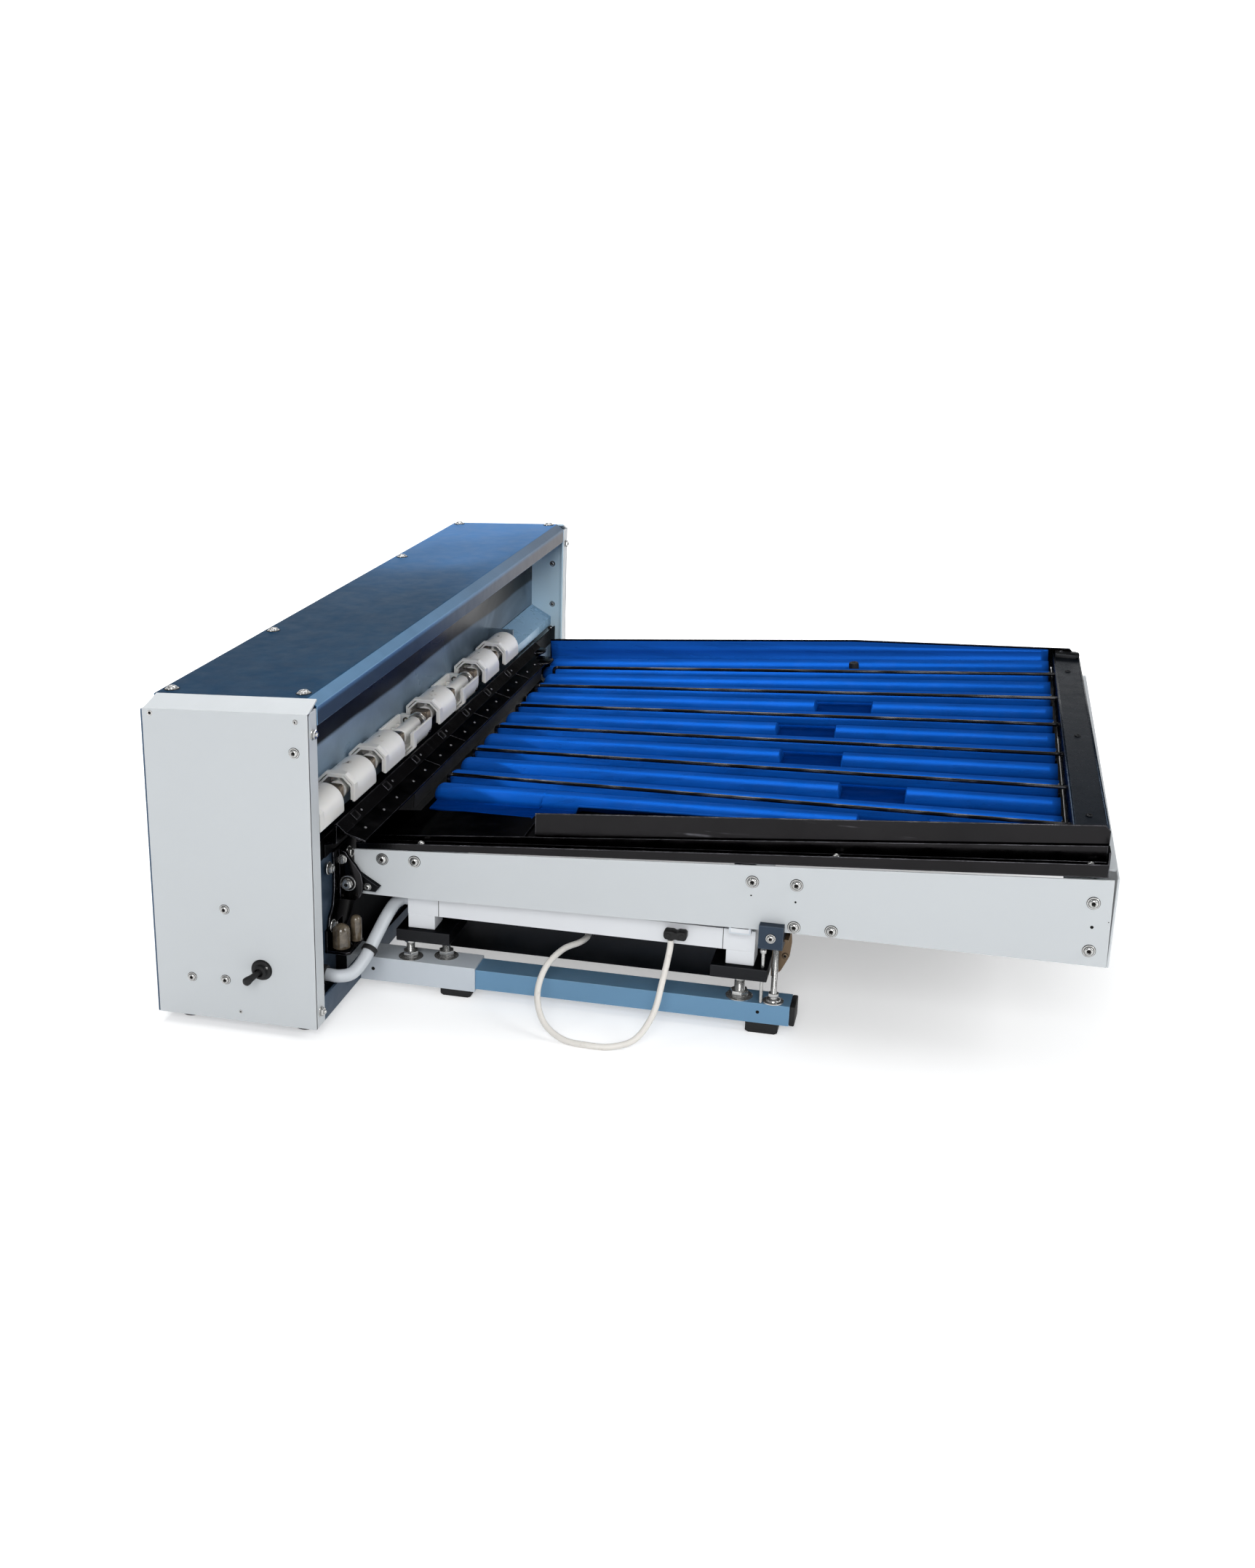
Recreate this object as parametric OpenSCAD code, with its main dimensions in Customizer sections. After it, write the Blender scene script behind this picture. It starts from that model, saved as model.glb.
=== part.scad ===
// Tabletop egg grader: a sheet-metal housing with a row of tipping cradles on one
// shaft, a drop slide, and a gently rising lane table that stands on two beams.
// Millimetres, +Z up, floor at z = 0. X runs from the housing to the table's end,
// Y runs from the near end plate to the far one.

/* [Housing] */
// Depth of the housing, from the back panel to the open front
house_w = 150; // [130:1:180]
// Length of the housing between the outer faces of its end plates
house_l = 918; // [880:1:1000]
// Height of the end plates at the front
house_h = 301; // [290:1:330]
// Fall of the top cover from front to back
top_fall = 8; // [4:0.5:12]
// Thickness of the housing's sheet metal
sheet_t = 2; // [1.5:0.1:3]
// Depth of the end plates' front flange
flange_d = 20; // [14:0.5:24]
// Run of the sloped fold along the top of each end plate
fold_run = 22; // [14:0.5:30]
// Drop of that fold
fold_drop = 8; // [4:0.5:12]
// Height of the cover's front lip, bevel included
lip_h = 24; // [18:0.5:30]
// Width of the bevel on the cover's front lip
bevel_w = 9; // [5:0.5:12]
// Height of the rubber feet
foot_h = 10; // [8:0.5:16]
// Radius of the rubber feet
foot_r = 11; // [8:0.5:14]
// Distance of the guide wall behind the open front
guide_x = 47; // [46:0.5:56]
// Top of the lower front panel above the base
panel_top = 158; // [150:1:160]
// Set-back of the lower front panel
panel_back = 14; // [12:0.5:20]
// Height of the base pan's flanges
pan_flange = 24; // [18:1:25]

/* [Cradles] */
// Number of tipping cradles
cradles = 8; // [4:1:8]
// Spacing of the cradles
cradle_pitch = 86; // [84:0.5:88]
// Length of one cradle
cradle_l = 60; // [50:0.5:62]
// Half the width of a cradle
cradle_half = 19; // [16:0.5:19.5]
// Height of the crown above the shaft
crown_h = 18; // [15:0.5:18.5]
// Reach of the legs below the shaft
leg_h = 8; // [5:0.5:9]
// Wall of a cradle
cradle_wall = 2.5; // [1.8:0.1:3]
// Length of the eight-sided rim
rim_l = 9; // [5:0.5:14]
// Radius of the shaft
shaft_r = 5; // [4:0.1:6]
// Running clearance of the cradle bores
run_fit = 0.05; // [0.03:0.01:0.1]
// Height of the shaft above the floor
shaft_z = 192; // [190:0.5:194]
// Distance of the shaft behind the open front
shaft_x = 25; // [24.5:0.5:25.5]
// Near rim of the first cradle
first_rim = 37; // [34:0.5:40]

/* [Table] */
// Near face of the table
table_near = 105; // [100:0.5:110]
// Space between the table and the far end of the housing
table_gap = 126; // [120:1:132]
// Distance of the table's end plate from the housing
table_end = 677; // [660:1:700]
// Number of wire dividers
wires = 6; // [5:1:6]
// Radius of a wire divider
wire_r = 2; // [1.5:0.1:2.5]
// Height of the wires at the slide
wire_z1 = 165; // [163:0.5:167]
// Height of the wires at the end kerb
wire_z2 = 213; // [209:0.5:215]
// Width of the far lane at the slide, side plate included
far_lane1 = 78; // [74:0.5:82]
// Width of the far lane at the end kerb, side plate included
far_lane2 = 101; // [96:0.5:104]
// Space between the last wire and the near side plate, at the slide
near_lane1 = 174; // [160:1:180]
// The same space at the end kerb
near_lane2 = 61; // [55:0.5:68]
// Height of a ridge of the lane mats
ridge_h = 11; // [8:0.5:12]
// Radius of a ridge
ridge_r = 22; // [20:0.5:24]
// Length of the egg pockets in the mats
pocket_l = 62; // [50:1:70]
// Width of the end kerb
kerb_w = 31; // [24:0.5:36]
// Width of the front tray
tray_w = 18; // [14:0.5:19]
// Height of the fence above the wires
fence_up = 13; // [8:0.5:18]
// Thickness of the table's side plates
plate_t = 2; // [1.5:0.1:3]
// Radius of the pivot pins
pivot_r = 5; // [4:0.1:6]
// Height of the pivot above the floor
pivot_z = 115; // [113:0.5:117]

/* [Undercarriage] */
// Width of a beam sleeve
sleeve_w = 32; // [28:0.5:36]
// Height of a beam sleeve
sleeve_h = 24; // [20:0.5:26]
// Wall of the sleeve and of the tube in it
tube_wall = 2; // [1.5:0.1:2.5]
// Length of a beam sleeve past the housing
sleeve_out = 112; // [95:1:125]
// Reach of a beam past the housing
beam_out = 408; // [402:1:430]
// Height of the sleeve's underside above the floor
beam_z = 9; // [8:0.5:12]
// Height of the mount blocks' underside
block_z = 54; // [50:0.5:58]
// Thickness of the mount blocks
block_h = 12; // [9:0.5:14]
// Height of the rail's underside
rail_z = 80; // [77:0.5:81]
// Width of the rail
rail_w = 25; // [20:0.5:30]
// Height of the rail
rail_h = 20; // [16:0.5:20.5]
// Radius of the supply conduit
conduit_r = 6; // [4:0.5:6]
// Radius of the signal cable
cable_r = 2.9; // [2.5:0.1:3]

/* [Hidden] */
$fn = 48;

// Heights and lines that several pieces share
top_z = foot_h + house_h;
base_z = foot_h;
back_x = -house_w;
fall_a = atan(top_fall / house_w);
fold_z = top_z - fold_drop;
bevel_drop = 7;
table_w = house_l - table_near - table_gap;
table_far = table_near + table_w;
lane_x1 = 33;
lane_x2 = table_end - 45;
lane_run = lane_x2 - lane_x1;
slope_a = atan((wire_z2 - wire_z1) / lane_run);
slope_len = lane_run / cos(slope_a);
wire_y1 = table_far - far_lane1;
wire_y2 = table_far - far_lane2;
wire_pitch1 = (table_w - far_lane1 - near_lane1) / (wires - 1);
wire_pitch2 = (table_w - far_lane2 - near_lane2) / (wires - 1);
mat_drop = wire_r + 1 + ridge_h;
mat_t = 2;
mat_x = 7;
floor_t = 2;
gap = 0.3;
under_d = mat_drop + mat_t + floor_t;
kerb_x = lane_x2 + 5;
kerb_z = 190;
kerb_top1 = 226;
kerb_top2 = 214;
fence_y = table_near + 22;
fence_t = 1.5;
fence_x = 165;
plate_h1 = 39;
pivot_x = -3;
screw_r = 3;
head_r = 5.5;
head_h = 3;
mid_beam = table_near + 25;
tube_in = 0.2;
sleeve_in = -30;
tube_x = 20;
tube_w = sleeve_w - 2 * tube_wall - 2 * tube_in;
tube_h = sleeve_h - 2 * tube_wall - 2 * tube_in;
beam_top = beam_z + sleeve_h;
tube_top = beam_top - tube_wall - tube_in;
block_l = 52;
block_w = 56;
block_x1 = 36;
block_x2 = beam_out - 74;
rail_x1 = 46;
rail_x2 = beam_out - 35;
rod_x = beam_out - 16;
clamp_x = rod_x - 14;
clamp_w = 22;
clamp_z = rail_z + 14;
rod_y = table_near + 18;
rod_r = 3;
lever_len = 18;
lever_tilt = 12;
lever_y = -3;
knob_r = 3.2;
switch_x = -50;
switch_z = 63;
head_k = 0.8;
tip_out = lever_len * cos(lever_tilt) + knob_r - lever_y;

// The origin is the middle of the part's base
x_low = back_x - sheet_t;
x_high = table_end + plate_t;
y_low = -tip_out;
y_high = house_l + head_h * head_k;
module seat() {
    translate([-(x_low + x_high) / 2, -(y_low + y_high) / 2, 0]) children();
}

// The near side's pieces, and the same mirrored on the far side of the table
module both_sides() {
    children();
    far_side() children();
}

module far_side() {
    translate([0, table_near + table_far, 0]) mirror([0, 1, 0]) children();
}

// A flat outline in X and Z, given thickness t along +Y from y
module upright(y, t) {
    translate([0, y + t, 0]) rotate([90, 0, 0]) linear_extrude(t) children();
}

// An outline in X and Z, run along Y between two places
module run_y(y1, y2) {
    upright(y1, y2 - y1) children();
}

// A cylinder along +Y
module along_y(x, y, z, r, l) {
    translate([x, y, z]) rotate([-90, 0, 0]) cylinder(r = r, h = l);
}

// A cylinder along +X
module along_x(x, y, z, r, l) {
    translate([x, y, z]) rotate([0, 90, 0]) cylinder(r = r, h = l);
}

// A button head with a socket, on a face that looks to -Y
module button_y(x, y, z, s = 1) {
    difference() {
        translate([x, y, z]) rotate([90, 0, 0])
            cylinder(r1 = head_r * s, r2 = head_r * s * 0.62, h = head_h * s);
        along_y(x, y - head_h * s - 1, z, 1.6 * s, head_h * s * 0.6 + 1);
    }
}

// A button head on a face that looks up
module button_z(x, y, z) {
    difference() {
        translate([x, y, z]) cylinder(r1 = head_r, r2 = head_r * 0.62, h = head_h);
        translate([x, y, z + head_h * 0.4]) cylinder(r = 1.6, h = head_h);
    }
}

// A hexagonal head on a face that looks to +X
module hex_x(x, y, z, r, l) {
    translate([x, y, z]) rotate([0, 90, 0]) cylinder(r = r, h = l, $fn = 6);
}

// The plane of the lanes: X along the slope from the slide, z = 0 on the wires
module lane_plane() {
    translate([lane_x1, 0, wire_z1]) rotate([0, -slope_a, 0]) children();
}

// Height of the lane plane over a place X
function lane_z(x) = wire_z1 + (x - lane_x1) * tan(slope_a);

// Height over X of a sheet that lies d under that plane
function under_z(x, d) = lane_z(x) - d / cos(slope_a);

// Height of the top cover over X
function top_at(x) = top_z + x * tan(fall_a);

// Where wire number i lies at the slide and at the kerb
function wire_near(i) = wire_y1 - i * wire_pitch1;
function wire_far(i) = wire_y2 - i * wire_pitch2;

// The same line at a place X
function wire_at(i, x) = wire_near(i)
    + (wire_far(i) - wire_near(i)) * (x - lane_x1) / lane_run;

// Housing

module end_outline() {
    polygon([[back_x, base_z], [0, base_z], [0, fold_z], [back_x + 6, fold_z - top_fall],
        [back_x, fold_z - top_fall - 10]]);
}

module end_plate_shape() {
    upright(0, sheet_t) end_outline();
    translate([-sheet_t, 0, base_z]) cube([sheet_t, flange_d, fold_z - base_z]);
    translate([0, 0, fold_z]) rotate([0, -fall_a, 0])
        translate([-house_w + 7, 0, 0]) rotate([90, 0, 90]) linear_extrude(house_w - 7)
            polygon([[0, -sheet_t], [0, 0], [fold_run, fold_drop],
                [fold_run, fold_drop - sheet_t]]);
}

module near_end_plate() {
    color("gainsboro") seat() difference() {
        end_plate_shape();
        along_y(switch_x, -1, switch_z, 6.2, sheet_t + 2);
    }
}

module far_end_plate() {
    color("gainsboro") seat() translate([0, house_l, 0]) mirror([0, 1, 0]) end_plate_shape();
}

module top_cover() {
    t = sheet_t;
    x = back_x + gap;
    color("steelblue") seat() run_y(fold_run + gap, house_l - fold_run - gap)
        polygon([[x, top_at(x)], [-bevel_w, top_at(-bevel_w)], [0, top_z - bevel_drop],
            [0, top_z - lip_h], [-t, top_z - lip_h], [-t, top_z - bevel_drop - t / 2],
            [-bevel_w - t / 2, top_at(-bevel_w) - t], [x + t, top_at(x) - t],
            [x + t, top_at(x) - 16], [x, top_at(x) - 16]]);
}

module back_panel() {
    color("slategray") seat()
        translate([back_x - sheet_t, 0, base_z])
            cube([sheet_t, house_l, house_h - top_fall - 8]);
}

module base_pan() {
    color("lightslategray") seat() difference() {
        union() {
            translate([back_x, sheet_t, base_z])
                cube([house_w - sheet_t, house_l - 2 * sheet_t, sheet_t]);
            translate([-sheet_t, flange_d + gap, base_z])
                cube([sheet_t, house_l - 2 * flange_d - 2 * gap, pan_flange]);
        }
        sleeve_notch();
    }
}

// The way through the base for the beam sleeves
module sleeve_notch() {
    both_sides() translate([sleeve_in - gap, mid_beam - sleeve_w / 2 - gap, 0])
        cube([gap - sleeve_in + 1, sleeve_w + 2 * gap, beam_top + gap]);
}

module lower_front_panel() {
    color("slategray") seat() difference() {
        translate([-panel_back - sheet_t, sheet_t, base_z + sheet_t])
            cube([sheet_t, house_l - 2 * sheet_t, panel_top - sheet_t]);
        sleeve_notch();
    }
}

module inner_guide_wall() {
    color("lightsteelblue") seat() {
        translate([-guide_x - sheet_t, sheet_t, shaft_z + 4])
            cube([sheet_t, house_l - 2 * sheet_t, fold_z - top_fall - shaft_z - 8]);
        translate([-guide_x - sheet_t, sheet_t, 150])
            cube([sheet_t, bulkhead_y - sheet_t, shaft_z - 146]);
    }
}

module infeed_chute() {
    color("lightsteelblue") seat() run_y(bulkhead_y + 20, house_l - sheet_t)
        polygon([[-guide_x, shaft_z + 4], [-20, shaft_z - 11], [-20, shaft_z - 22],
            [-20 - sheet_t, shaft_z - 22], [-20 - sheet_t, shaft_z - 12],
            [-guide_x, shaft_z + 2]]);
}

// Fasteners of the housing: [x, z] on the near end plate
near_fixings = [[-11, fold_z - 7], [-14, fold_z - 35], [-83, base_z + 107],
    [-117, base_z + 38], [-85, base_z + 39]];
cover_y = [38, 262, 654, house_l - 30];

module housing_screws() {
    color("silver") seat() {
        for (p = near_fixings) button_y(p[0], 0, p[1], head_k);
        for (p = near_fixings)
            translate([0, house_l, 0]) mirror([0, 1, 0]) button_y(p[0], 0, p[1], head_k);
        translate([0, 0, top_z]) rotate([0, -fall_a, 0]) {
            for (y = cover_y) button_z(-house_w + 10, y, 0);
            for (y = [cover_y[0], cover_y[3]]) button_z(-18, y, 0);
        }
        for (y = [flange_d / 2, house_l - flange_d / 2])
            for (z = [base_z + 14, fold_z - 20]) hex_x(0, y, z, 4, 4);
    }
}

module rubber_feet() {
    color("dimgray") seat()
        for (x = [back_x + 20, -20]) for (y = [25, house_l - 25])
            translate([x, y, 0]) cylinder(r1 = foot_r - 1.5, r2 = foot_r, h = foot_h);
}

// Cradle row

bulkhead_y = first_rim + (cradles - 1) * cradle_pitch + cradle_l + 8;
function rim_y(i) = first_rim + i * cradle_pitch;
// Cradles that wait with their hollow side up
loaded = [3, 5];

module carrier_shaft() {
    color("silver") seat() {
        along_y(-shaft_x, sheet_t, shaft_z, shaft_r, bulkhead_y + 10 - sheet_t);
        for (i = [0 : cradles - 1])
            along_y(-shaft_x, rim_y(i) - 24, shaft_z, shaft_r + 4, 8);
    }
}

module shaft_bulkhead() {
    color("slategray") seat() difference() {
        translate([-guide_x, bulkhead_y, shaft_z - 40])
            cube([guide_x - panel_back - sheet_t, 4, 58]);
        along_y(-shaft_x, bulkhead_y - 1, shaft_z, shaft_r + run_fit, 6);
    }
}

module actuator_blocks() {
    color("dimgray") seat() for (i = [0 : cradles - 1]) difference() {
        union() {
            translate([-shaft_x - 9, rim_y(i) - 15, shaft_z - 12]) cube([18, 13, 21]);
            translate([-guide_x, rim_y(i) - 12, shaft_z - 9])
                cube([guide_x - shaft_x - 9, 7, 12]);
        }
        along_y(-shaft_x, rim_y(i) - 16, shaft_z, shaft_r + run_fit, 16);
    }
}

// The section of the round half-shell, crown up, about the shaft
module shell_section(w, c) {
    translate([0, c - w]) circle(r = w);
    translate([-w, -leg_h]) square([2 * w, c - w + leg_h]);
}

module rim_section(w, c) {
    polygon([[-w, -leg_h], [-w, c - 9], [-w + 9, c], [w - 9, c], [w, c - 9], [w, -leg_h]]);
}

module cradle(i) {
    in_half = cradle_half - cradle_wall;
    in_crown = crown_h - cradle_wall;
    turned = len(search(i, loaded)) > 0 ? 180 : 0;
    color("white") seat() translate([-shaft_x, rim_y(i), shaft_z]) rotate([0, turned, 0])
        difference() {
            union() {
                run_y(0, rim_l) difference() {
                    rim_section(cradle_half, crown_h);
                    translate([0, -0.01]) rim_section(in_half, in_crown);
                }
                run_y(rim_l, cradle_l) difference() {
                    shell_section(cradle_half, crown_h);
                    translate([0, -0.01]) shell_section(in_half, in_crown);
                }
                along_y(0, 6, 0, shaft_r + 3, cradle_l - 12);
                translate([-1.5, 6, 0]) cube([3, cradle_l - 12, crown_h - 1]);
            }
            along_y(0, -1, 0, shaft_r + run_fit, cradle_l + 2);
        }
}

// Drop slide and hinge

slide_y1 = 62;
slide_y2 = table_far - 32;
slide_edge = 26;
peak_z = 183;

module drop_slide() {
    t = 1.6;
    f = -panel_back;
    color("dimgray") seat() difference() {
        run_y(slide_y1, slide_y2)
            polygon([[f, 150], [f, 164], [-5, 166], [-3, peak_z], [-1, peak_z + 1],
                [8, 176], [slide_edge, 171], [slide_edge, 171 - t], [8, 176 - t],
                [-1, peak_z - 1.2], [-3 + t, 164.8], [f + t, 162.5], [f + t, 150]]);
        translate([12, wire_y1 - 2, 150]) cube([20, slide_y2, 40]);
    }
}

module slide_screws() {
    low_a = atan((176 - 171) / (slide_edge - 8));
    high_a = atan((peak_z + 1 - 176) / 9);
    color("silver") seat() for (i = [0 : cradles - 1]) for (d = [12, 48])
        if (rim_y(i) + d > slide_y1 && rim_y(i) + d < wire_y1 - 8)
            translate([0, rim_y(i) + d, 0]) {
                translate([17, 0, 173.5]) rotate([0, low_a, 0])
                    cylinder(r1 = 2.4, r2 = 1.4, h = 1.6);
                translate([3.5, 0, 180]) rotate([0, high_a, 0])
                    cylinder(r1 = 2.4, r2 = 1.4, h = 1.6);
            }
}

bracket_y1 = 48;
module hinge_bracket() {
    difference() {
        union() {
            translate([-panel_back, bracket_y1, 78]) cube([3, 92, 70]);
            translate([-panel_back, table_near - 12, 98]) cube([24, 4, 40]);
            translate([-panel_back, bracket_y1 + 10, 58]) cube([24, 40, 3]);
            translate([-panel_back, bracket_y1 + 10, 58]) cube([3, 40, 22]);
        }
        along_y(pivot_x, table_near - 13, pivot_z, pivot_r, 6);
    }
}

module hinge_brackets() {
    color("black") seat() both_sides() hinge_bracket();
}

module pivot_pin() {
    along_y(pivot_x, table_near - 14, pivot_z, pivot_r, 14 - gap);
    along_y(pivot_x, table_near - 13.5, pivot_z, pivot_r + 2.6, 1.5);
    translate([pivot_x, table_near - 13.5, pivot_z]) rotate([90, 0, 0])
        cylinder(r = 5.5, h = 5, $fn = 6);
}

module pivot_pins() {
    color("silver") seat() both_sides() {
        pivot_pin();
        for (p = [[60, 128], [70, 98], [84, 132]])
            hex_x(3 - panel_back, p[0], p[1], 5, 4.5);
    }
}

module bumper_pins() {
    color("lightgray") seat() for (p = [[-4, 68], [3, 88]])
        translate([p[0], p[1], 61]) {
            cylinder(r = 5, h = 14);
            translate([0, 0, 14]) sphere(r = 5);
        }
}

// Tubes that follow a route

function mid(a, b, t) = a + (b - a) * t;
function curve(p, i, t) = let (
        a = p[max(i - 1, 0)], b = p[i], c = p[min(i + 1, len(p) - 1)],
        d = p[min(i + 2, len(p) - 1)])
    0.5 * (2 * b + (c - a) * t + (2 * a - 5 * b + 4 * c - d) * t * t
        + (3 * b - a - 3 * c + d) * t * t * t);
function unit(v) = v / norm(v);
function path(p, n) = [for (i = [0 : len(p) - 2]) for (k = [0 : n - 1]) curve(p, i, k / n),
    p[len(p) - 1]];
function tangent(q, i) = unit(q[min(i + 1, len(q) - 1)] - q[max(i - 1, 0)]);
function side_of(t, up) = unit(up - (up * t) * t);
function ups(q, i, last, out) = i == len(q) ? out :
    let (u = side_of(tangent(q, i), last)) ups(q, i + 1, u, concat(out, [u]));

// One closed tube swept along the points p, with n rings to a stretch
module swept(p, r, n, sides, start_up) {
    q = path(p, n);
    u = ups(q, 0, start_up, []);
    rings = [for (i = [0 : len(q) - 1]) let (t = tangent(q, i), v = cross(t, u[i]))
        for (k = [0 : sides - 1])
            q[i] + r * (cos(360 * k / sides) * u[i] + sin(360 * k / sides) * v)];
    last = (len(q) - 1) * sides;
    polyhedron(rings, concat(
        [[for (k = [0 : sides - 1]) k]],
        [for (i = [0 : len(q) - 2]) for (k = [0 : sides - 1])
            [i * sides + k, (i + 1) * sides + k,
             (i + 1) * sides + (k + 1) % sides, i * sides + (k + 1) % sides]],
        [[for (k = [sides - 1 : -1 : 0]) last + k]]));
}

// Route of the grey supply conduit, from the panel to the rail's near end
conduit_pts = [[-14, 48, 42], [-6, 48, 42], [4, 48, 42], [16, 56, 43], [24, 72, 48],
    [27, 92, 62], [28, 110, 78], [32, 124, 87], [38, 130, 90], [42, 130, 90],
    [rail_x1 - gap, 130, 90]];

module supply_conduit() {
    color("gainsboro") seat() swept(conduit_pts, conduit_r, 3, 12, [0, 0, 1]);
}

module conduit_gland() {
    p = conduit_pts[0];
    color("black") seat() difference() {
        along_x(p[0], p[1], p[2], conduit_r + 3, 6);
        along_x(p[0] - 1, p[1], p[2], conduit_r + gap, 8);
    }
}

// Switch on the near end plate

module switch_body() {
    color("black") seat() difference() {
        union() {
            along_y(switch_x, -8, switch_z, 6, 10);
            translate([switch_x, 0, switch_z]) rotate([90, 0, 0])
                cylinder(r = 9, h = 3, $fn = 6);
            translate([switch_x - 12, sheet_t, switch_z - 9]) cube([24, 24, 18]);
        }
        along_y(switch_x, -9, switch_z, knob_r + 0.8, 13);
    }
}

module switch_lever() {
    color("silver") seat() translate([switch_x, lever_y, switch_z])
        rotate([90 + lever_tilt, 0, 0]) {
            sphere(r = knob_r);
            rotate([0, 90, 0]) cylinder(r = 1.4, h = 2 * knob_r + 0.9, center = true);
            cylinder(r1 = 1.5, r2 = 2.6, h = lever_len);
            translate([0, 0, lever_len]) sphere(r = knob_r);
        }
}

module power_supply() {
    color("silver") seat() translate([back_x + 14, 560, base_z + sheet_t])
        cube([98, 200, 42]);
}

module control_board() {
    color("seagreen") seat() {
        translate([back_x + 20, 180, base_z + 16]) cube([90, 220, 2]);
        for (x = [back_x + 26, back_x + 104]) for (y = [186, 394])
            translate([x, y, base_z + sheet_t]) cylinder(r = 3, h = 16 - sheet_t);
        translate([back_x + 40, 220, base_z + 18]) cube([30, 40, 18]);
        translate([back_x + 70, 300, base_z + 18]) cube([24, 60, 12]);
    }
}

// Undercarriage

module beam_sleeves() {
    color("lightgray") seat() both_sides() difference() {
        translate([sleeve_in, mid_beam - sleeve_w / 2, beam_z])
            cube([sleeve_out - sleeve_in, sleeve_w, sleeve_h]);
        translate([sleeve_in - 1, mid_beam - sleeve_w / 2 + tube_wall, beam_z + tube_wall])
            cube([sleeve_out - sleeve_in + 2, sleeve_w - 2 * tube_wall,
                sleeve_h - 2 * tube_wall]);
    }
}

module beam_tubes() {
    color("steelblue") seat() both_sides() difference() {
        translate([tube_x, mid_beam - tube_w / 2, beam_z + tube_wall + tube_in])
            cube([beam_out - tube_x, tube_w, tube_h]);
        translate([tube_x - 1, mid_beam - tube_w / 2 + tube_wall,
                beam_z + 2 * tube_wall + tube_in])
            cube([beam_out - tube_x + 2, tube_w - 2 * tube_wall, tube_h - 2 * tube_wall]);
    }
}

module beam_rubbers() {
    color("black") seat() both_sides() {
        translate([beam_out, mid_beam - tube_w / 2, beam_z + tube_wall + tube_in])
            cube([5, tube_w, tube_h]);
        translate([77, mid_beam - 12, 0]) cube([30, 24, beam_z]);
        translate([beam_out - 40, mid_beam - 12, 0])
            cube([30, 24, beam_z + tube_wall + tube_in]);
    }
}

// A stud with two washers and a nut, from a beam's top to a mount block
module stud(x, y, z1, z2, r) {
    translate([x, y, z1]) cylinder(r = r, h = z2 - z1);
    translate([x, y, z1]) cylinder(r = r + 6, h = 1.5);
    translate([x, y, z1 + 1.5]) cylinder(r = r + 3, h = 4, $fn = 6);
    translate([x, y, z2 - 5]) cylinder(r = r + 2, h = 5);
}

module adjuster_bolts() {
    color("silver") seat() both_sides() {
        stud(block_x1 + 10, mid_beam - 5, beam_top, block_z, 4);
        stud(block_x1 + 42, mid_beam + 5, beam_top, block_z, 4);
        stud(block_x2 + 26, mid_beam - 2, tube_top, block_z, 5);
    }
}

module mount_blocks() {
    color("black") seat() both_sides() for (x = [block_x1, block_x2])
        translate([x, mid_beam - 18, block_z]) cube([block_l, block_w, block_h]);
}

module rail_spacers() {
    color("gainsboro") seat() both_sides() for (x = [rail_x1, rail_x2 - 26])
        translate([x, mid_beam - 12, block_z + block_h])
            cube([26, rail_w, rail_z - block_z - block_h]);
}

module sensor_rails() {
    color("gainsboro") seat() both_sides() difference() {
        translate([rail_x1, mid_beam - 12, rail_z])
            cube([rail_x2 - rail_x1, rail_w, rail_h]);
        translate([rail_x1 + 3, mid_beam - 12 + tube_wall, rail_z + tube_wall])
            cube([rail_x2 - rail_x1 - 6, rail_w - 2 * tube_wall, rail_h - 2 * tube_wall]);
    }
}

module cross_bars() {
    color("black") seat() both_sides()
        translate([block_x1 + 10, mid_beam - 18 + block_w, block_z - 26])
            cube([block_x2 + block_l - block_x1 - 20, 5, 26 + block_h]);
}

// Route of the white signal cable, down to the floor and back up
cable_pts = [[297, 112, 85.7], [297, 112, 80], [296, 107, 69], [294, 94, 52], [290, 76, 28], [278, 58, 10],
    [258, 50, 3.6], [236, 48, 3.2], [212, 52, 4], [192, 62, 14], [182, 78, 32],
    [184, 98, 50], [194, 122, 59], [206, 140, 60], [210, 152, 60], [210, 157, 60], [210, 162.7, 60]];

module cable_glands() {
    color("black") seat() {
        translate([290, mid_beam - 12 - 11, 86]) cube([24, 11, 10]);
        along_y(210, mid_beam + 33, 60, 6, block_w - 18 - 33);
    }
}

module signal_cable() {
    color("white") seat() swept(cable_pts, cable_r, 4, 8, [0, 1, 0]);
}

// Table

module side_outline() {
    polygon([[-1, 144], [-1, 128], [14, 109], [-5, 106], [-5, 101], [50, 101], [380, 108],
        [table_end, 108], [table_end - 2, 188], [374, 170]]);
}

// Fasteners of the side plates: [x, z]
side_fixings = [[26, 137], [57, 138], [rod_x - 23, 153], [rod_x + 16, 154],
    [rod_x + 16, 114], [rod_x + 49, 114],
    [table_end - 17, 166], [table_end - 16, 122]];

module near_side_plate() {
    color("gainsboro") seat() {
        upright(table_near, plate_t) side_outline();
    }
}

module far_side_plate() {
    color("gainsboro") seat() upright(table_far - plate_t, plate_t) side_outline();
}

module end_plate() {
    color("gainsboro") seat() {
        translate([table_end, table_near, 108]) cube([plate_t, table_w, kerb_z - 108]);
        translate([table_end - 30, table_near + plate_t, 108])
            cube([30, table_w - 2 * plate_t, plate_t]);
        translate([kerb_x, fence_y - gap, kerb_z - plate_t])
            cube([table_end - kerb_x, table_far - plate_t - fence_y + gap, plate_t]);
    }
}

module table_floor() {
    x1 = -6;
    x2 = (kerb_x - gap - lane_x1) / cos(slope_a) - 1.6;
    color("lightgray") seat() lane_plane() translate([x1, fence_y + fence_t, -under_d])
        cube([x2 - x1, table_far - plate_t - fence_y - fence_t, floor_t]);
}

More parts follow.
